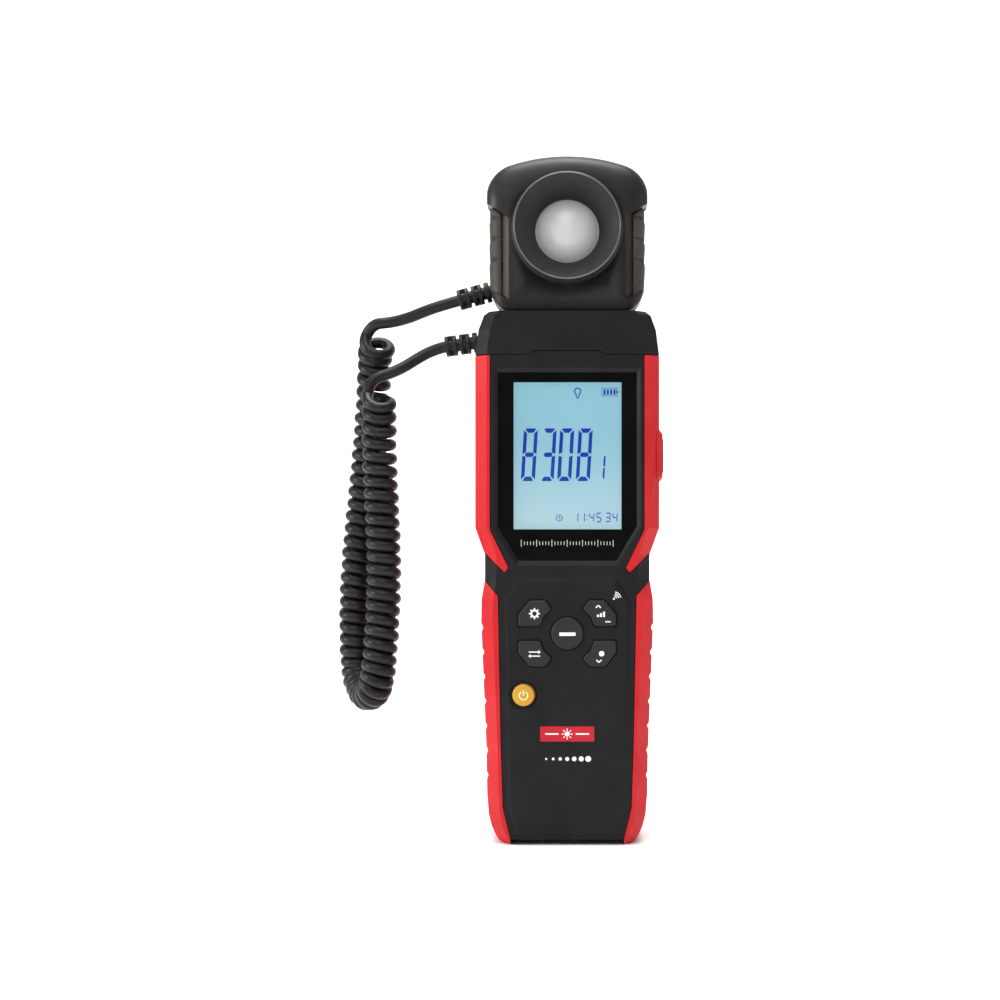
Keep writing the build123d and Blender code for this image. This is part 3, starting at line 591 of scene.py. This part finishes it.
def strain_relief(name, node, start, drop, body):
    """One strain relief, whose blocks have windows between webs above, below, in front and behind."""
    verts, faces = lathe(relief_profile(), 0.0, 40)
    sleeve = make_object(name, verts, faces, 30)
    for near, far in RELIEF_BLOCKS:
        inside = RELIEF_DISC / 2
        web = make_object("web", *prisms([cross(RELIEF_RIB - 0.12, 0.9)], near + inside, far - inside))
        join = sleeve.modifiers.new("join", "BOOLEAN")
        join.operation, join.solver, join.object = "UNION", "EXACT", web
        bake_modifiers(sleeve)
        bpy.data.objects.remove(web)
    down = radians(drop)
    # The sleeve's own axis, along Y, is laid to the left and downward.
    lay = Matrix(((0, -cos(down), sin(down), 0), (-1, 0, 0, 0), (0, -sin(down), -cos(down), 0), (0, 0, 0, 1)))
    sleeve.data.transform(Matrix.Translation(at(*start)) @ lay)
    sleeve.data.set_sharp_from_angle(angle=radians(30))
    return settle(sleeve, body, "relief", replaces=[node])


def make_cord():
    """The curly cord, as one tube wound along the route, and its two strain reliefs."""
    reliefs = [
        strain_relief("head_relief", "head_strain_relief", (-24.0, 0.5, 167.9), 15.6, "sensor_head"),
        strain_relief("body_relief", "body_strain_relief", (-27.8, 0.5, 152.3), 8.0, "meter_body"),
    ]
    path = coiled_path()
    cord = tube("curly_cord", path, CORD_D / 2)
    cord.data.materials.append(MATERIALS["cord"])
    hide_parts("cord_lead_head", "cord_coil", "cord_lead_body")
    round(Line(path).length, 3)
    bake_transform(cord)


add_camera()
add_stage()
add_light()
make_cord()


# ---- sensor head ---------------------------------------------------------------------------------
EYE_Z = 186.1
HEAD_FRONT, HEAD_MIDDLE = -9.5, 0.5  # the rear is the mirror image of the front about the middle
SEAM = 0.12
HEAD_WALL = 1.2
PANEL_HALF = 17.5  # half width of the flat front, between the bevel strips
# Levels of the surface from the side to the front: share of the way, then the side recess's (x, y) at it.
RECESS = [
    (0.0, 21.8, -4.0),
    (0.25, 21.8, -5.9),
    (0.32, 21.6, -6.1),
    (0.48, 20.0, -6.1),
    (0.54, 19.75, -6.3),
    (0.74, 19.7, -7.7),
    (0.80, 19.55, -8.0),
    (0.95, 17.8, -9.35),
    (1.0, PANEL_HALF, HEAD_FRONT),
]
CROWN_LEVELS = [0.0, 0.12, 0.25, 0.38, 0.5, 0.62, 0.74, 0.87, 1.0]
RECESS_LIP = 0.22


def recess_top(x):
    """Height of the diagonal ridge over the side recess."""
    return 190.4 + 0.69 * (x - 19.4)


def recess_foot(x):
    """Height of the recess's lower end."""
    return 164.4 + 0.55 * (x - PANEL_HALF)


def rounded(outer, inner, depth):
    """A column of surface points from an outer to an inner front-view point, round over a depth."""
    column = [(outer[0], HEAD_MIDDLE - SEAM, outer[1])]
    for share in CROWN_LEVELS:
        angle = share * pi / 2
        move = 1 - cos(angle)
        x = outer[0] + (inner[0] - outer[0]) * move
        z = outer[1] + (inner[1] - outer[1]) * move
        column.append((x, HEAD_FRONT + depth * (1 - sin(angle)), z))
    return column


def recessed(t):
    """A column of the side recess at a share t of its height."""
    levels = [(RECESS[0][1], HEAD_MIDDLE - SEAM)] + [(x, y) for _, x, y in RECESS]
    return [(x, y, recess_foot(x) + (recess_top(x) - recess_foot(x)) * t) for x, y in levels]


def arc_through(a, b, c, steps):
    """Points on the circle through three front-view points, from a to c."""
    (x1, z1), (x2, z2), (x3, z3) = a, b, c
    d = 2 * (x1 * (z2 - z3) + x2 * (z3 - z1) + x3 * (z1 - z2))
    s1, s2, s3 = x1 * x1 + z1 * z1, x2 * x2 + z2 * z2, x3 * x3 + z3 * z3
    cx = (s1 * (z2 - z3) + s2 * (z3 - z1) + s3 * (z1 - z2)) / d
    cz = (s1 * (x3 - x2) + s2 * (x1 - x3) + s3 * (x2 - x1)) / d
    radius = sqrt((x1 - cx) ** 2 + (z1 - cz) ** 2)
    first, last = atan2(z1 - cz, x1 - cx), atan2(z3 - cz, x3 - cx)
    turns = [first + (last - first) * i / steps for i in range(steps + 1)]
    return [(cx + radius * cos(turn), cz + radius * sin(turn)) for turn in turns]


def head_columns():
    """The head's surface as columns, from the middle of the foot up the right side to the crown's middle."""
    columns = [rounded((x, 161.0), (x * 0.97, 161.8), 0.9) for x in (0, 4, 8, 12, 15.2, 17.2)]
    corner = arc_through((18.2, 161.05), (21.6, 163.4), (23.35, 167.0), 8)
    for i, outer in enumerate(corner):
        share = i / (len(corner) - 1)
        inner = (16.7 + (PANEL_HALF - 16.7) * min(1, 2 * share), 161.8 + 2.4 * share**1.5)
        columns.append(rounded(outer, inner, 0.9 + 3.6 * ease(share)))
    below_recess = (PANEL_HALF, recess_foot(PANEL_HALF) - 0.1)
    columns.append(rounded((23.45, recess_foot(23.45) - RECESS_LIP), below_recess, 4.5))
    columns += [recessed(t / 16) for t in range(17)]
    columns.append(rounded((24.6, recess_top(24.6) + RECESS_LIP), (17.8, recess_top(17.8) + RECESS_LIP), 5.0))
    columns.append(rounded((24.65, 195.6), (18.0, 191.4), 5.2))
    columns.append(rounded((24.65, 197.0), (18.1, 193.0), 5.4))
    columns.append(rounded((24.6, 198.2), (17.9, 194.3), 5.6))
    shoulder = arc_through((24.35, 199.4), (22.1, 203.3), (18.2, 206.0), 9)
    crown = arc_through((18.2, 206.0), (0.0, 209.0), (-18.2, 206.0), 28)[1:15]
    for x, z in shoulder + crown:
        columns.append(rounded((x, z), (x * 0.70, 195.3 + 7.0 * cos(x / 24.6 * pi / 2) ** 0.8), 6.0))
    return columns


def head_rows():
    """The whole front surface as rings, each level a closed ring of points."""
    right = head_columns()
    left = [[(-x, y, z) for x, y, z in column] for column in reversed(right[1:-1])]
    columns = right + left
    return [[column[level] for column in columns] for level in range(len(columns[0]))]


def circle_row(row, radius, y):
    """A ring of points on a circle about the eye, each in the direction of a point of another ring."""
    turns = [atan2(z - EYE_Z, x) for x, _, z in row]
    return [(radius * cos(turn), y, EYE_Z + radius * sin(turn)) for turn in turns]


def head_shell(name, rear):
    """The front or the rear shell of the head, as a wall of even thickness."""
    rows = head_rows()
    rows.append(circle_row(rows[-1], 14.0, HEAD_FRONT))
    if rear:
        rows.append(circle_row(rows[-1], 13.5, HEAD_FRONT + 0.4))
        rows.append(circle_row(rows[-1], 7.0, HEAD_FRONT + 0.4))
    verts, faces = skin_rows(rows)
    if rear:
        count = len(rows[0])
        faces.append([len(verts) - count + i for i in range(count)])
        verts = [(x, 2 * HEAD_MIDDLE - y, z) for x, y, z in verts]
    shell = make_object(name, verts, faces, 32)
    thicken = shell.modifiers.new("wall", "SOLIDIFY")
    thicken.thickness, thicken.offset = HEAD_WALL * MM, -1.0
    edit = bmesh.new()
    edit.from_mesh(shell.data)
    middle = at(0, HEAD_MIDDLE, EYE_Z)
    outward = sum(face.normal.dot(face.calc_center_median() - middle) for face in edit.faces)
    if outward < 0:
        bmesh.ops.reverse_faces(edit, faces=edit.faces)
        edit.to_mesh(shell.data)
    edit.free()
    return bake_modifiers(shell)


HEAD_SCREWS = [(16.5, 168.5), (-16.5, 168.5), (16.5, 200.5), (-16.5, 200.5)]


def cut_holes(obj, places, radius, y_front, y_rear):
    """Cuts round holes along Y."""
    for x, z in places:
        verts, faces = prisms([arc(x, z, radius, 0, 360, 32)[:-1]], y_front, y_rear)
        cutter = make_object("cutter", verts, faces)
        cut = obj.modifiers.new("cut", "BOOLEAN")
        cut.operation, cut.solver, cut.object = "DIFFERENCE", "MANIFOLD", cutter
        bake_modifiers(obj)
        bpy.data.objects.remove(cutter)


RIB_TOP, RIB_PITCH, RIBS = 189.7, 6.4, 3
RIB_SLOPE = 0.3  # how far a rib drops over its way to the rear
RIB_STEP, RIB_TAPER = 0.42, 1.3  # how far a rib stands out, and the share of the pitch over which it fades
GROOVE_DEPTH, GROOVE_HALF = 0.75, 0.5
PAD_FILL = 0.988  # share of the recess's height that a pad takes up
# Half of a side pad's section, from the inner edge of its front lip round to the middle of its outer face.
PAD_OUTSIDE = [(19.9, -6.2), (19.9, -7.2), (20.0, -7.55), (20.4, -7.75), (21.1, -7.65), (22.0, -7.15)]
PAD_OUTSIDE += [(22.75, -6.3), (23.25, -5.3), (23.5, -4.0), (23.6, -2.0), (23.6, 0.5)]
PAD_INSIDE = [(21.95, 0.5), (21.95, -6.2)]


def rib_offset(y, z):
    """How far the pad's surface stands out: steps that taper downward, with a narrow groove above each."""
    below = (RIB_TOP - z - RIB_SLOPE * max(0.0, y + 7.0)) / RIB_PITCH
    nearest = min(max(round(below), 0), RIBS - 1)
    groove = max(0.0, 1 - abs(below - nearest) * RIB_PITCH / GROOVE_HALF)
    step = 1 - (below - min(max(floor(below), 0), RIBS - 1)) / RIB_TAPER if below > 0 else 0.4
    return RIB_STEP * max(0.0, step) - GROOVE_DEPTH * groove


def head_pad(name, node, side):
    """One ribbed side pad, which fills the recess."""
    front = PAD_OUTSIDE
    rear = [(x, 2 * HEAD_MIDDLE - y) for x, y in reversed(PAD_OUTSIDE[:-1])]
    inside = [(x, 2 * HEAD_MIDDLE - y) for x, y in reversed(PAD_INSIDE)] + PAD_INSIDE[1:]
    section = [(x, y, True) for x, y in front + rear] + [(x, y, False) for x, y in inside]
    rows, steps = [], 130
    for step in range(steps + 1):
        t = PAD_FILL * step / steps
        end_round = min(1.0, (steps - step) / 3)
        row = []
        for x, y, outside in section:
            z = recess_foot(x) + (recess_top(x) - recess_foot(x)) * t
            if outside:
                push = rib_offset(y, z) - 0.35 * (1 - end_round)
                weight = min(1.0, (x - 19.6) / 2.0)
                lift = push * 0.8 * (1 - weight * 0.5)
                if y < -5.5:
                    y -= lift
                elif y > 6.5:
                    y += lift
                x += push * weight
            row.append((side * x, y, z))
        rows.append(row)
    verts, faces = skin_rows(rows)
    count = len(section)
    faces += [list(reversed(range(count))), list(range(len(verts) - count, len(verts)))]
    pad = make_object(name, verts, faces, 40)
    return settle(pad, "sensor_head", "head_pad", replaces=[node])


RIM_Y, RIM_R, FLANGE_R = -15.0, 15.95, 16.8
DOME_R, DOME_Y = 9.5, -2.3


def collar():
    """The flared ring around the dome, with a flange, a dished funnel and a fine glossy rim whose lighter grey
    is partly painted highlight.
    """
    outside = [(14.0, DOME_Y), (14.0, HEAD_FRONT), (16.95, HEAD_FRONT), (16.6, HEAD_FRONT - 0.5)]
    outside += [(16.35, HEAD_FRONT - 1.0), (16.45, -11.4), (FLANGE_R - 0.06, -11.9), (FLANGE_R, -12.2)]
    outside += [(FLANGE_R - 0.03, -12.5), (FLANGE_R - 0.15, -12.75), (16.3, -13.9), (16.15, RIM_Y + 0.15)]
    top = [(RIM_R + 0.05, RIM_Y + 0.06), (RIM_R - 0.12, RIM_Y + 0.12), (RIM_R - 0.25, RIM_Y + 0.35)]
    funnel = arc_through((RIM_R - 0.35, RIM_Y + 0.6), (12.4, RIM_Y + 5.3), (DOME_R + 0.3, RIM_Y + 10.6), 20)
    verts, faces = lathe(outside + top + funnel + [(DOME_R + 0.3, DOME_Y)], EYE_Z, 160)
    ring = make_object("collar_ring", verts, faces, 40)
    settle(ring, "sensor_head", "collar", ["sensor_collar"])
    # The rim bead, whose lighter grey paints part of its highlight.
    bead_r = 0.19
    half_turn = [radians(a) for a in range(0, 181, 20)]
    bead = [(RIM_R + bead_r * cos(a), RIM_Y + 0.14 - bead_r * sin(a)) for a in half_turn]
    bead += [(RIM_R - bead_r, RIM_Y + 0.4), (RIM_R + bead_r, RIM_Y + 0.4)]
    rim = make_object("collar_rim", *lathe(bead, EYE_Z, 160), 60)
    settle(rim, "sensor_head", "collar_rim", ["sensor_collar"])


def dome():
    """The white diffuser: a smooth hemisphere on a flange, whose material glows faintly as painted light."""
    wall = 1.5
    outer = [(DOME_R * sin(radians(a)), DOME_Y - DOME_R * cos(radians(a))) for a in range(0, 91, 5)]
    hollow = DOME_R - wall
    inner = [(hollow * sin(radians(a)), DOME_Y - hollow * cos(radians(a))) for a in range(90, -1, -5)]
    profile = outer + [(12.0, DOME_Y), (12.0, DOME_Y + wall), (hollow, DOME_Y + wall)] + inner
    profile[0], profile[-1] = (0, profile[0][1]), (0, profile[-1][1])
    rows, faces = lathe_open(profile, EYE_Z, 96)
    ball = make_object("dome_lens", rows, faces, 40)
    settle(ball, "sensor_head", "dome", replaces=["diffuser_dome"])


def lathe_open(profile, centre_z, segments):
    """A lathed solid whose profile starts and ends on the axis."""
    verts, faces = lathe(profile, centre_z, segments)
    poles = [i for i, (radius, _) in enumerate(profile) if radius == 0]
    if len(poles) == 2:
        ends = {n for n, vert in enumerate(verts) if vert[0] == 0.0 and vert[2] == centre_z}
        faces = [face for face in faces if not ends <= set(face)]
    return verts, faces


def make_head():
    """Everything seen of the sensor head."""
    front = head_shell("head_front", False)
    settle(front, "sensor_head", "head_case", replaces=["head_front_shell"])
    rear = head_shell("head_rear", True)
    cut_holes(rear, HEAD_SCREWS, 2.5, 6.0, 14.0)
    settle(rear, "sensor_head", "head_case", replaces=["head_rear_shell"])
    head_pad("pad_left", "head_pad_left", -1)
    head_pad("pad_right", "head_pad_right", 1)
    collar()
    dome()


make_head()

# ---- casing: CAD nodes with rounded edges and their materials ------------------------------------
NODE_FINISH = {
    "front_cover": ("black_case", 0.22),
    "rear_cover": ("black_case", 0.22),
    "top_cap": ("black_case", 0.3),
    "battery_door": ("black_case", 0.2),
    "grip_upper_left": ("red_rubber", 0.3),
    "grip_upper_right": ("red_rubber", 0.3),
    "grip_lower_left": ("red_rubber", 0.3),
    "grip_lower_right": ("red_rubber", 0.3),
    "port_cover": ("relief", 0.15),
    "name_badge": ("badge", 0.06),
    "dock_tongue": ("head_case", 0.2),
    "lcd_panel": ("lcd", 0),
    "backlight": ("backlight", 0),
    "zebra_strip": ("silicone", 0),
    "lcd_frame": ("inner_plastic", 0),
    "main_board": ("board", 0),
    "mcu_chip": ("chip", 0.1),
    "wireless_module": ("steel", 0.1),
    "buzzer": ("chip", 0.1),
    "usb_socket": ("steel", 0.1),
    "keypad_membrane": ("silicone", 0),
    "door_hinge_pin": ("steel", 0),
    "aaa_cells": ("cell", 0.1),
    "battery_springs": ("steel", 0),
    "battery_contacts": ("steel", 0),
    "tripod_insert": ("brass", 0.12),
    "body_screws": ("steel", 0.08),
    "head_screws": ("steel", 0.08),
    "dome_seal": ("silicone", 0),
    "dome_retainer": ("inner_plastic", 0),
    "optical_filter": ("filter", 0),
    "photodiode": ("chip", 0),
    "sensor_board": ("board", 0),
    "set_key": ("key", 0.12),
    "unit_key": ("key", 0.12),
    "max_min_key": ("key", 0.12),
    "rec_key": ("key", 0.12),
    "hold_key": ("key", 0.12),
    "power_key": ("power", 0.12),
}
for name, (material, width) in NODE_FINISH.items():
    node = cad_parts[name]
    for index in range(len(node.data.materials)):
        node.material_slots[index].link = "OBJECT"
        node.material_slots[index].material = MATERIALS[material]
    if width:
        soften(node, width)


# ---- display -------------------------------------------------------------------------------------
GLASS_Y = -14.2
GLASS_THICK = 1.6
LCD_Y = -12.4
INK = 0.05  # thickness of printed marks
WINDOW = [(20.9, 142.0), (20.9, 95.7), (14.8, 85.3), (-14.8, 85.3), (-20.9, 95.7), (-20.9, 142.0)]
OPENING = [(16.3, 139.0), (16.3, 94.8), (-16.1, 94.8), (-16.1, 139.0)]  # corners of what shows of the LCD


def window_border():
    """The glossy black border around the LCD, as a ring with bevelled edges."""
    # Six outline corners meet four opening corners: each of the two lower ones serves two outline corners.
    inner_of = [0, 1, 1, 2, 2, 3]
    verts, faces = [], []
    for y in (GLASS_Y, GLASS_Y + GLASS_THICK):
        verts += [(x, y, z) for x, z in WINDOW] + [(x, y, z) for x, z in OPENING]
    outer, total = len(WINDOW), len(WINDOW) + len(OPENING)
    for i in range(outer):
        j = (i + 1) % outer
        a, b = inner_of[i], inner_of[j]
        ring = [i, j, outer + b] if a == b else [i, j, outer + b, outer + a]
        faces.append(ring)
        faces.append([total + corner for corner in reversed(ring)])
        faces.append([i, j, total + j, total + i])
    for a in range(4):
        b = (a + 1) % 4
        faces.append([outer + a, outer + b, total + outer + b, total + outer + a])
    border = make_object("window_border", verts, faces)
    bevel = border.modifiers.new("bevel", "BEVEL")
    bevel.width, bevel.segments, bevel.limit_method = 0.15 * MM, 2, "ANGLE"
    bevel.harden_normals = True
    settle(border, "meter_body", "window", replaces=["display_window"])


def clear_pane():
    """The clear part of the window, over the LCD."""
    shrink, middle = 0.999, 117
    outline = [(x * shrink, middle + (z - middle) * shrink) for x, z in OPENING]
    verts, faces = prisms([outline], GLASS_Y + 0.1, GLASS_Y + 1.0)
    pane = make_object("window_pane", verts, faces)
    glass = bpy.data.materials.new("clear_window")
    glass.use_nodes = True
    tree = glass.node_tree
    shader = tree.nodes["Principled BSDF"]
    shader.inputs["Base Color"].default_value = (0.1, 0.12, 0.13, 1)
    shader.inputs["Alpha"].default_value = 0.03
    shader.inputs["Specular IOR Level"].default_value = 0.2
    coordinates = tree.nodes.new("ShaderNodeTexCoord")
    smears = noise(tree, 60, 3, coordinates)
    tree.links.new(spread(tree, smears.outputs["Fac"], 0.05, 0.14), shader.inputs["Roughness"])
    MATERIALS["clear_window"] = glass
    settle(pane, "meter_body", "clear_window", ["display_window"])


SEGMENTS = {"0": "abcdef", "1": "bc", "3": "abcdg", "4": "bcfg", "5": "acdfg", "8": "abcdefg"}
SLANT = 0.06  # sideways lean of the digits


def digit(character, x, z, width, height, stroke):
    """Outlines of one seven-segment digit, from its lower middle."""
    half, mid, h, thin = width / 2, height / 2, stroke / 2, 0.78 * stroke
    gap = stroke * 0.12
    low, high = h, height - h

    def across(level, tip):
        a, b = -half + 0.55 * thin + gap, half - 0.55 * thin - gap
        if tip == 0:
            ends = [(a, level), (a + h * 0.7, level + h), (b - h * 0.7, level + h)]
            return ends + [(b, level), (b - h * 0.7, level - h), (a + h * 0.7, level - h)]
        ends = [(a - h * 0.25, level + tip * h * 0.5), (a, level + tip * h), (b, level + tip * h)]
        ends += [(b + h * 0.25, level + tip * h * 0.5)]
        return ends + [(b - h * 0.9, level - tip * h), (a + h * 0.9, level - tip * h)]

    def upright(side, z0, z1, end_low, end_high):
        a, b, s = z0 + gap, z1 - gap, side
        out = [(s * half, a - end_low * h * 0.5), (s * half, b + end_high * h * 0.5)]
        inner_x = s * (half - thin)
        return out + [(inner_x, b - end_high * h), (inner_x, a + end_low * h)]

    shapes = {
        "a": across(high, 1),
        "g": across(mid, 0),
        "d": across(low, -1),
        "b": upright(1, mid + h * 0.3, high, 0.4, 1),
        "c": upright(1, low, mid - h * 0.3, 1, 0.4),
        "f": upright(-1, mid + h * 0.3, high, 0.4, 1),
        "e": upright(-1, low, mid - h * 0.3, 1, 0.4),
    }
    outlines = [shapes[segment] for segment in SEGMENTS[character]]
    return [[(x + px + SLANT * (pz - mid), z + pz) for px, pz in outline] for outline in outlines]


def stroke_line(points, width):
    """Outlines of a line of even width through points, one for each run."""
    outlines = []
    for (x0, z0), (x1, z1) in zip(points, points[1:]):
        length = sqrt((x1 - x0) ** 2 + (z1 - z0) ** 2)
        nx, nz = -(z1 - z0) / length * width / 2, (x1 - x0) / length * width / 2
        outlines.append([(x0 + nx, z0 + nz), (x1 + nx, z1 + nz), (x1 - nx, z1 - nz), (x0 - nx, z0 - nz)])
    return outlines


def band(x, z, radius, width, first, last, steps=24):
    """The outline of an arc-shaped band."""
    outside = arc(x, z, radius + width / 2, first, last, steps)
    return outside + list(reversed(arc(x, z, radius - width / 2, first, last, steps)))


def rectangle(x0, x1, z0, z1):
    """The outline of a rectangle."""
    return [(x0, z0), (x1, z0), (x1, z1), (x0, z1)]


def disc(x, z, radius, steps=20):
    """The outline of a disc."""
    return arc(x, z, radius, 0, 360, steps)[:-1]


def mark(name, outlines, y_front, thick, body, material):
    """Printed marks or inlays: thin flat shapes on a face that looks to the front."""
    verts, faces = prisms(outlines, y_front - thick, y_front)
    return settle(make_object(name, verts, faces), body, material)


def lcd_marks():
    """What the LCD shows: a reading, the time, a lamp and a battery."""
    outlines = []
    for character, x in zip("8308", (-11.4, -5.75, -0.45, 5.15)):
        outlines += digit(character, x, 109.3, 4.25, 15.9, 1.35)
    outlines += digit("1", 10.1, 109.6, 2.6, 7.8, 0.7)
    for character, x in zip("114534", (2.6, 4.6, 7.4, 9.5, 12.3, 14.4)):
        outlines += digit(character, x, 96.9, 1.5, 2.9, 0.34)
    outlines += [disc(6.0, 97.7, 0.17), disc(6.1, 98.9, 0.17)]
    lamp_line, cell_line, clock_line = 0.34, 0.16, 0.2
    outlines += [band(3.15, 136.4, 0.92, lamp_line, -50, 230)]
    outlines += stroke_line([(3.75, 135.75), (3.5, 134.8)], lamp_line)
    outlines += stroke_line([(2.55, 135.75), (2.8, 134.8)], lamp_line)
    outlines += [rectangle(2.75, 3.55, 134.25, 134.65)]
    for z in (135.0, 137.3):
        outlines += stroke_line([(10.4, z), (15.0, z)], cell_line)
    for x in (10.48, 14.92):
        outlines += stroke_line([(x, 135.0), (x, 137.3)], cell_line)
    outlines += [rectangle(15.0, 15.35, 135.75, 136.55)]
    outlines += [rectangle(x, x + 0.62, 135.35, 136.95) for x in (10.95, 11.95, 12.95, 13.95)]
    outlines += [band(-2.4, 98.2, 0.9, clock_line, 0, 359.9)]
    outlines += stroke_line([(-2.4, 98.8), (-2.4, 98.15), (-1.95, 98.0)], clock_line)
    mark("lcd_marks", outlines, LCD_Y, INK, "meter_body", "lcd_ink")


def scale_ticks():
    """A row of fine ticks under the display, longer at each fifth."""
    ticks, first, pitch, half, middle = 31, -13.8, 0.92, 0.11, 90.6
    outlines = []
    for step in range(ticks):
        x, height = first + pitch * step, 2.0 if step % 5 == 0 else 1.1
        outlines.append(rectangle(x - half, x + half, middle - height / 2, middle + height / 2))
    mark("scale_ticks", outlines, GLASS_Y, INK, "meter_body", "faint_print")


# ---- keys and prints -----------------------------------------------------------------------------
KEY_FACE, PANEL_Y, POWER_FACE = -16.3, -15.5, -15.75


def chevron(x, z, way):
    """An open arrow head, up or down."""
    return stroke_line([(x - 0.75, z - 0.35 * way), (x, z + 0.4 * way), (x + 0.75, z - 0.35 * way)], 0.34)


def rays(x, z, near, far, width):
    """Eight short lines around a point."""
    lines = []
    for step in range(8):
        turn = radians(45 * step)
        lines += stroke_line([(x + r * cos(turn), z + r * sin(turn)) for r in (near, far)], width)
    return lines


def key_marks():
    """Plain symbols on the keys."""
    dash = [rectangle(-2.35, 2.5, 62.95, 63.95)]
    gear_x, gear_z = -9.8, 69.6
    gear = [band(gear_x, gear_z, 0.95, 0.5, 0, 359.9)] + rays(gear_x, gear_z, 1.15, 1.65, 0.42)
    swap = stroke_line([(-11.5, 58.1), (-8.6, 58.1)], 0.34) + stroke_line([(-11.0, 56.9), (-8.1, 56.9)], 0.34)
    swap += [[(-8.7, 58.7), (-7.9, 58.1), (-8.7, 57.5)], [(-10.9, 57.5), (-11.7, 56.9), (-10.9, 56.3)]]
    levels = chevron(9.3, 71.7, 1)
    levels += [rectangle(8.9 + 0.9 * step, 9.5 + 0.9 * step, 68.6, 69.3 + 0.45 * step) for step in range(3)]
    levels += [rectangle(11.4, 13.0, 67.0, 67.35)]
    record = [disc(10.3, 57.6, 0.8)] + chevron(9.5, 55.4, -1)
    power = [band(-13.1, 45.0, 1.25, 0.34, 122, 418)] + [rectangle(-13.27, -12.93, 45.0, 46.6)]
    mark("hold_mark", dash, KEY_FACE, INK, "hold_key", "print")
    mark("set_mark", gear, KEY_FACE, INK, "set_key", "print")
    mark("unit_mark", swap, KEY_FACE, INK, "unit_key", "print")
    mark("max_min_mark", levels, KEY_FACE, INK, "max_min_key", "print")
    mark("rec_mark", record, KEY_FACE, INK, "rec_key", "print")
    mark("power_mark", power, POWER_FACE, INK, "power_key", "cream_print")


def panel_marks():
    """Prints on the keypad panel: a wireless sign, a row of dots and the sign on the badge."""
    waves = [disc(14.0, 74.0, 0.3)] + [band(14.0, 74.0, r, 0.28, 10, 80, 10) for r in (0.85, 1.45, 2.05)]
    dots = [disc(-6.3 + 2.1 * step, 26.0, 0.32 + 0.09 * step) for step in range(7)]
    mark("wireless_mark", waves, PANEL_Y, INK, "meter_body", "print")
    mark("level_dots", dots, PANEL_Y, INK, "meter_body", "print")
    sun = [disc(0, 33.5, 0.75)] + rays(0, 33.5, 1.05, 1.6, 0.3)
    sun += [rectangle(-6.6, -2.6, 33.3, 33.7), rectangle(2.6, 6.6, 33.3, 33.7)]
    mark("badge_sign", sun, PANEL_Y - 0.2, INK, "meter_body", "print")


window_border()
clear_pane()
lcd_marks()
scale_ticks()
key_marks()
panel_marks()
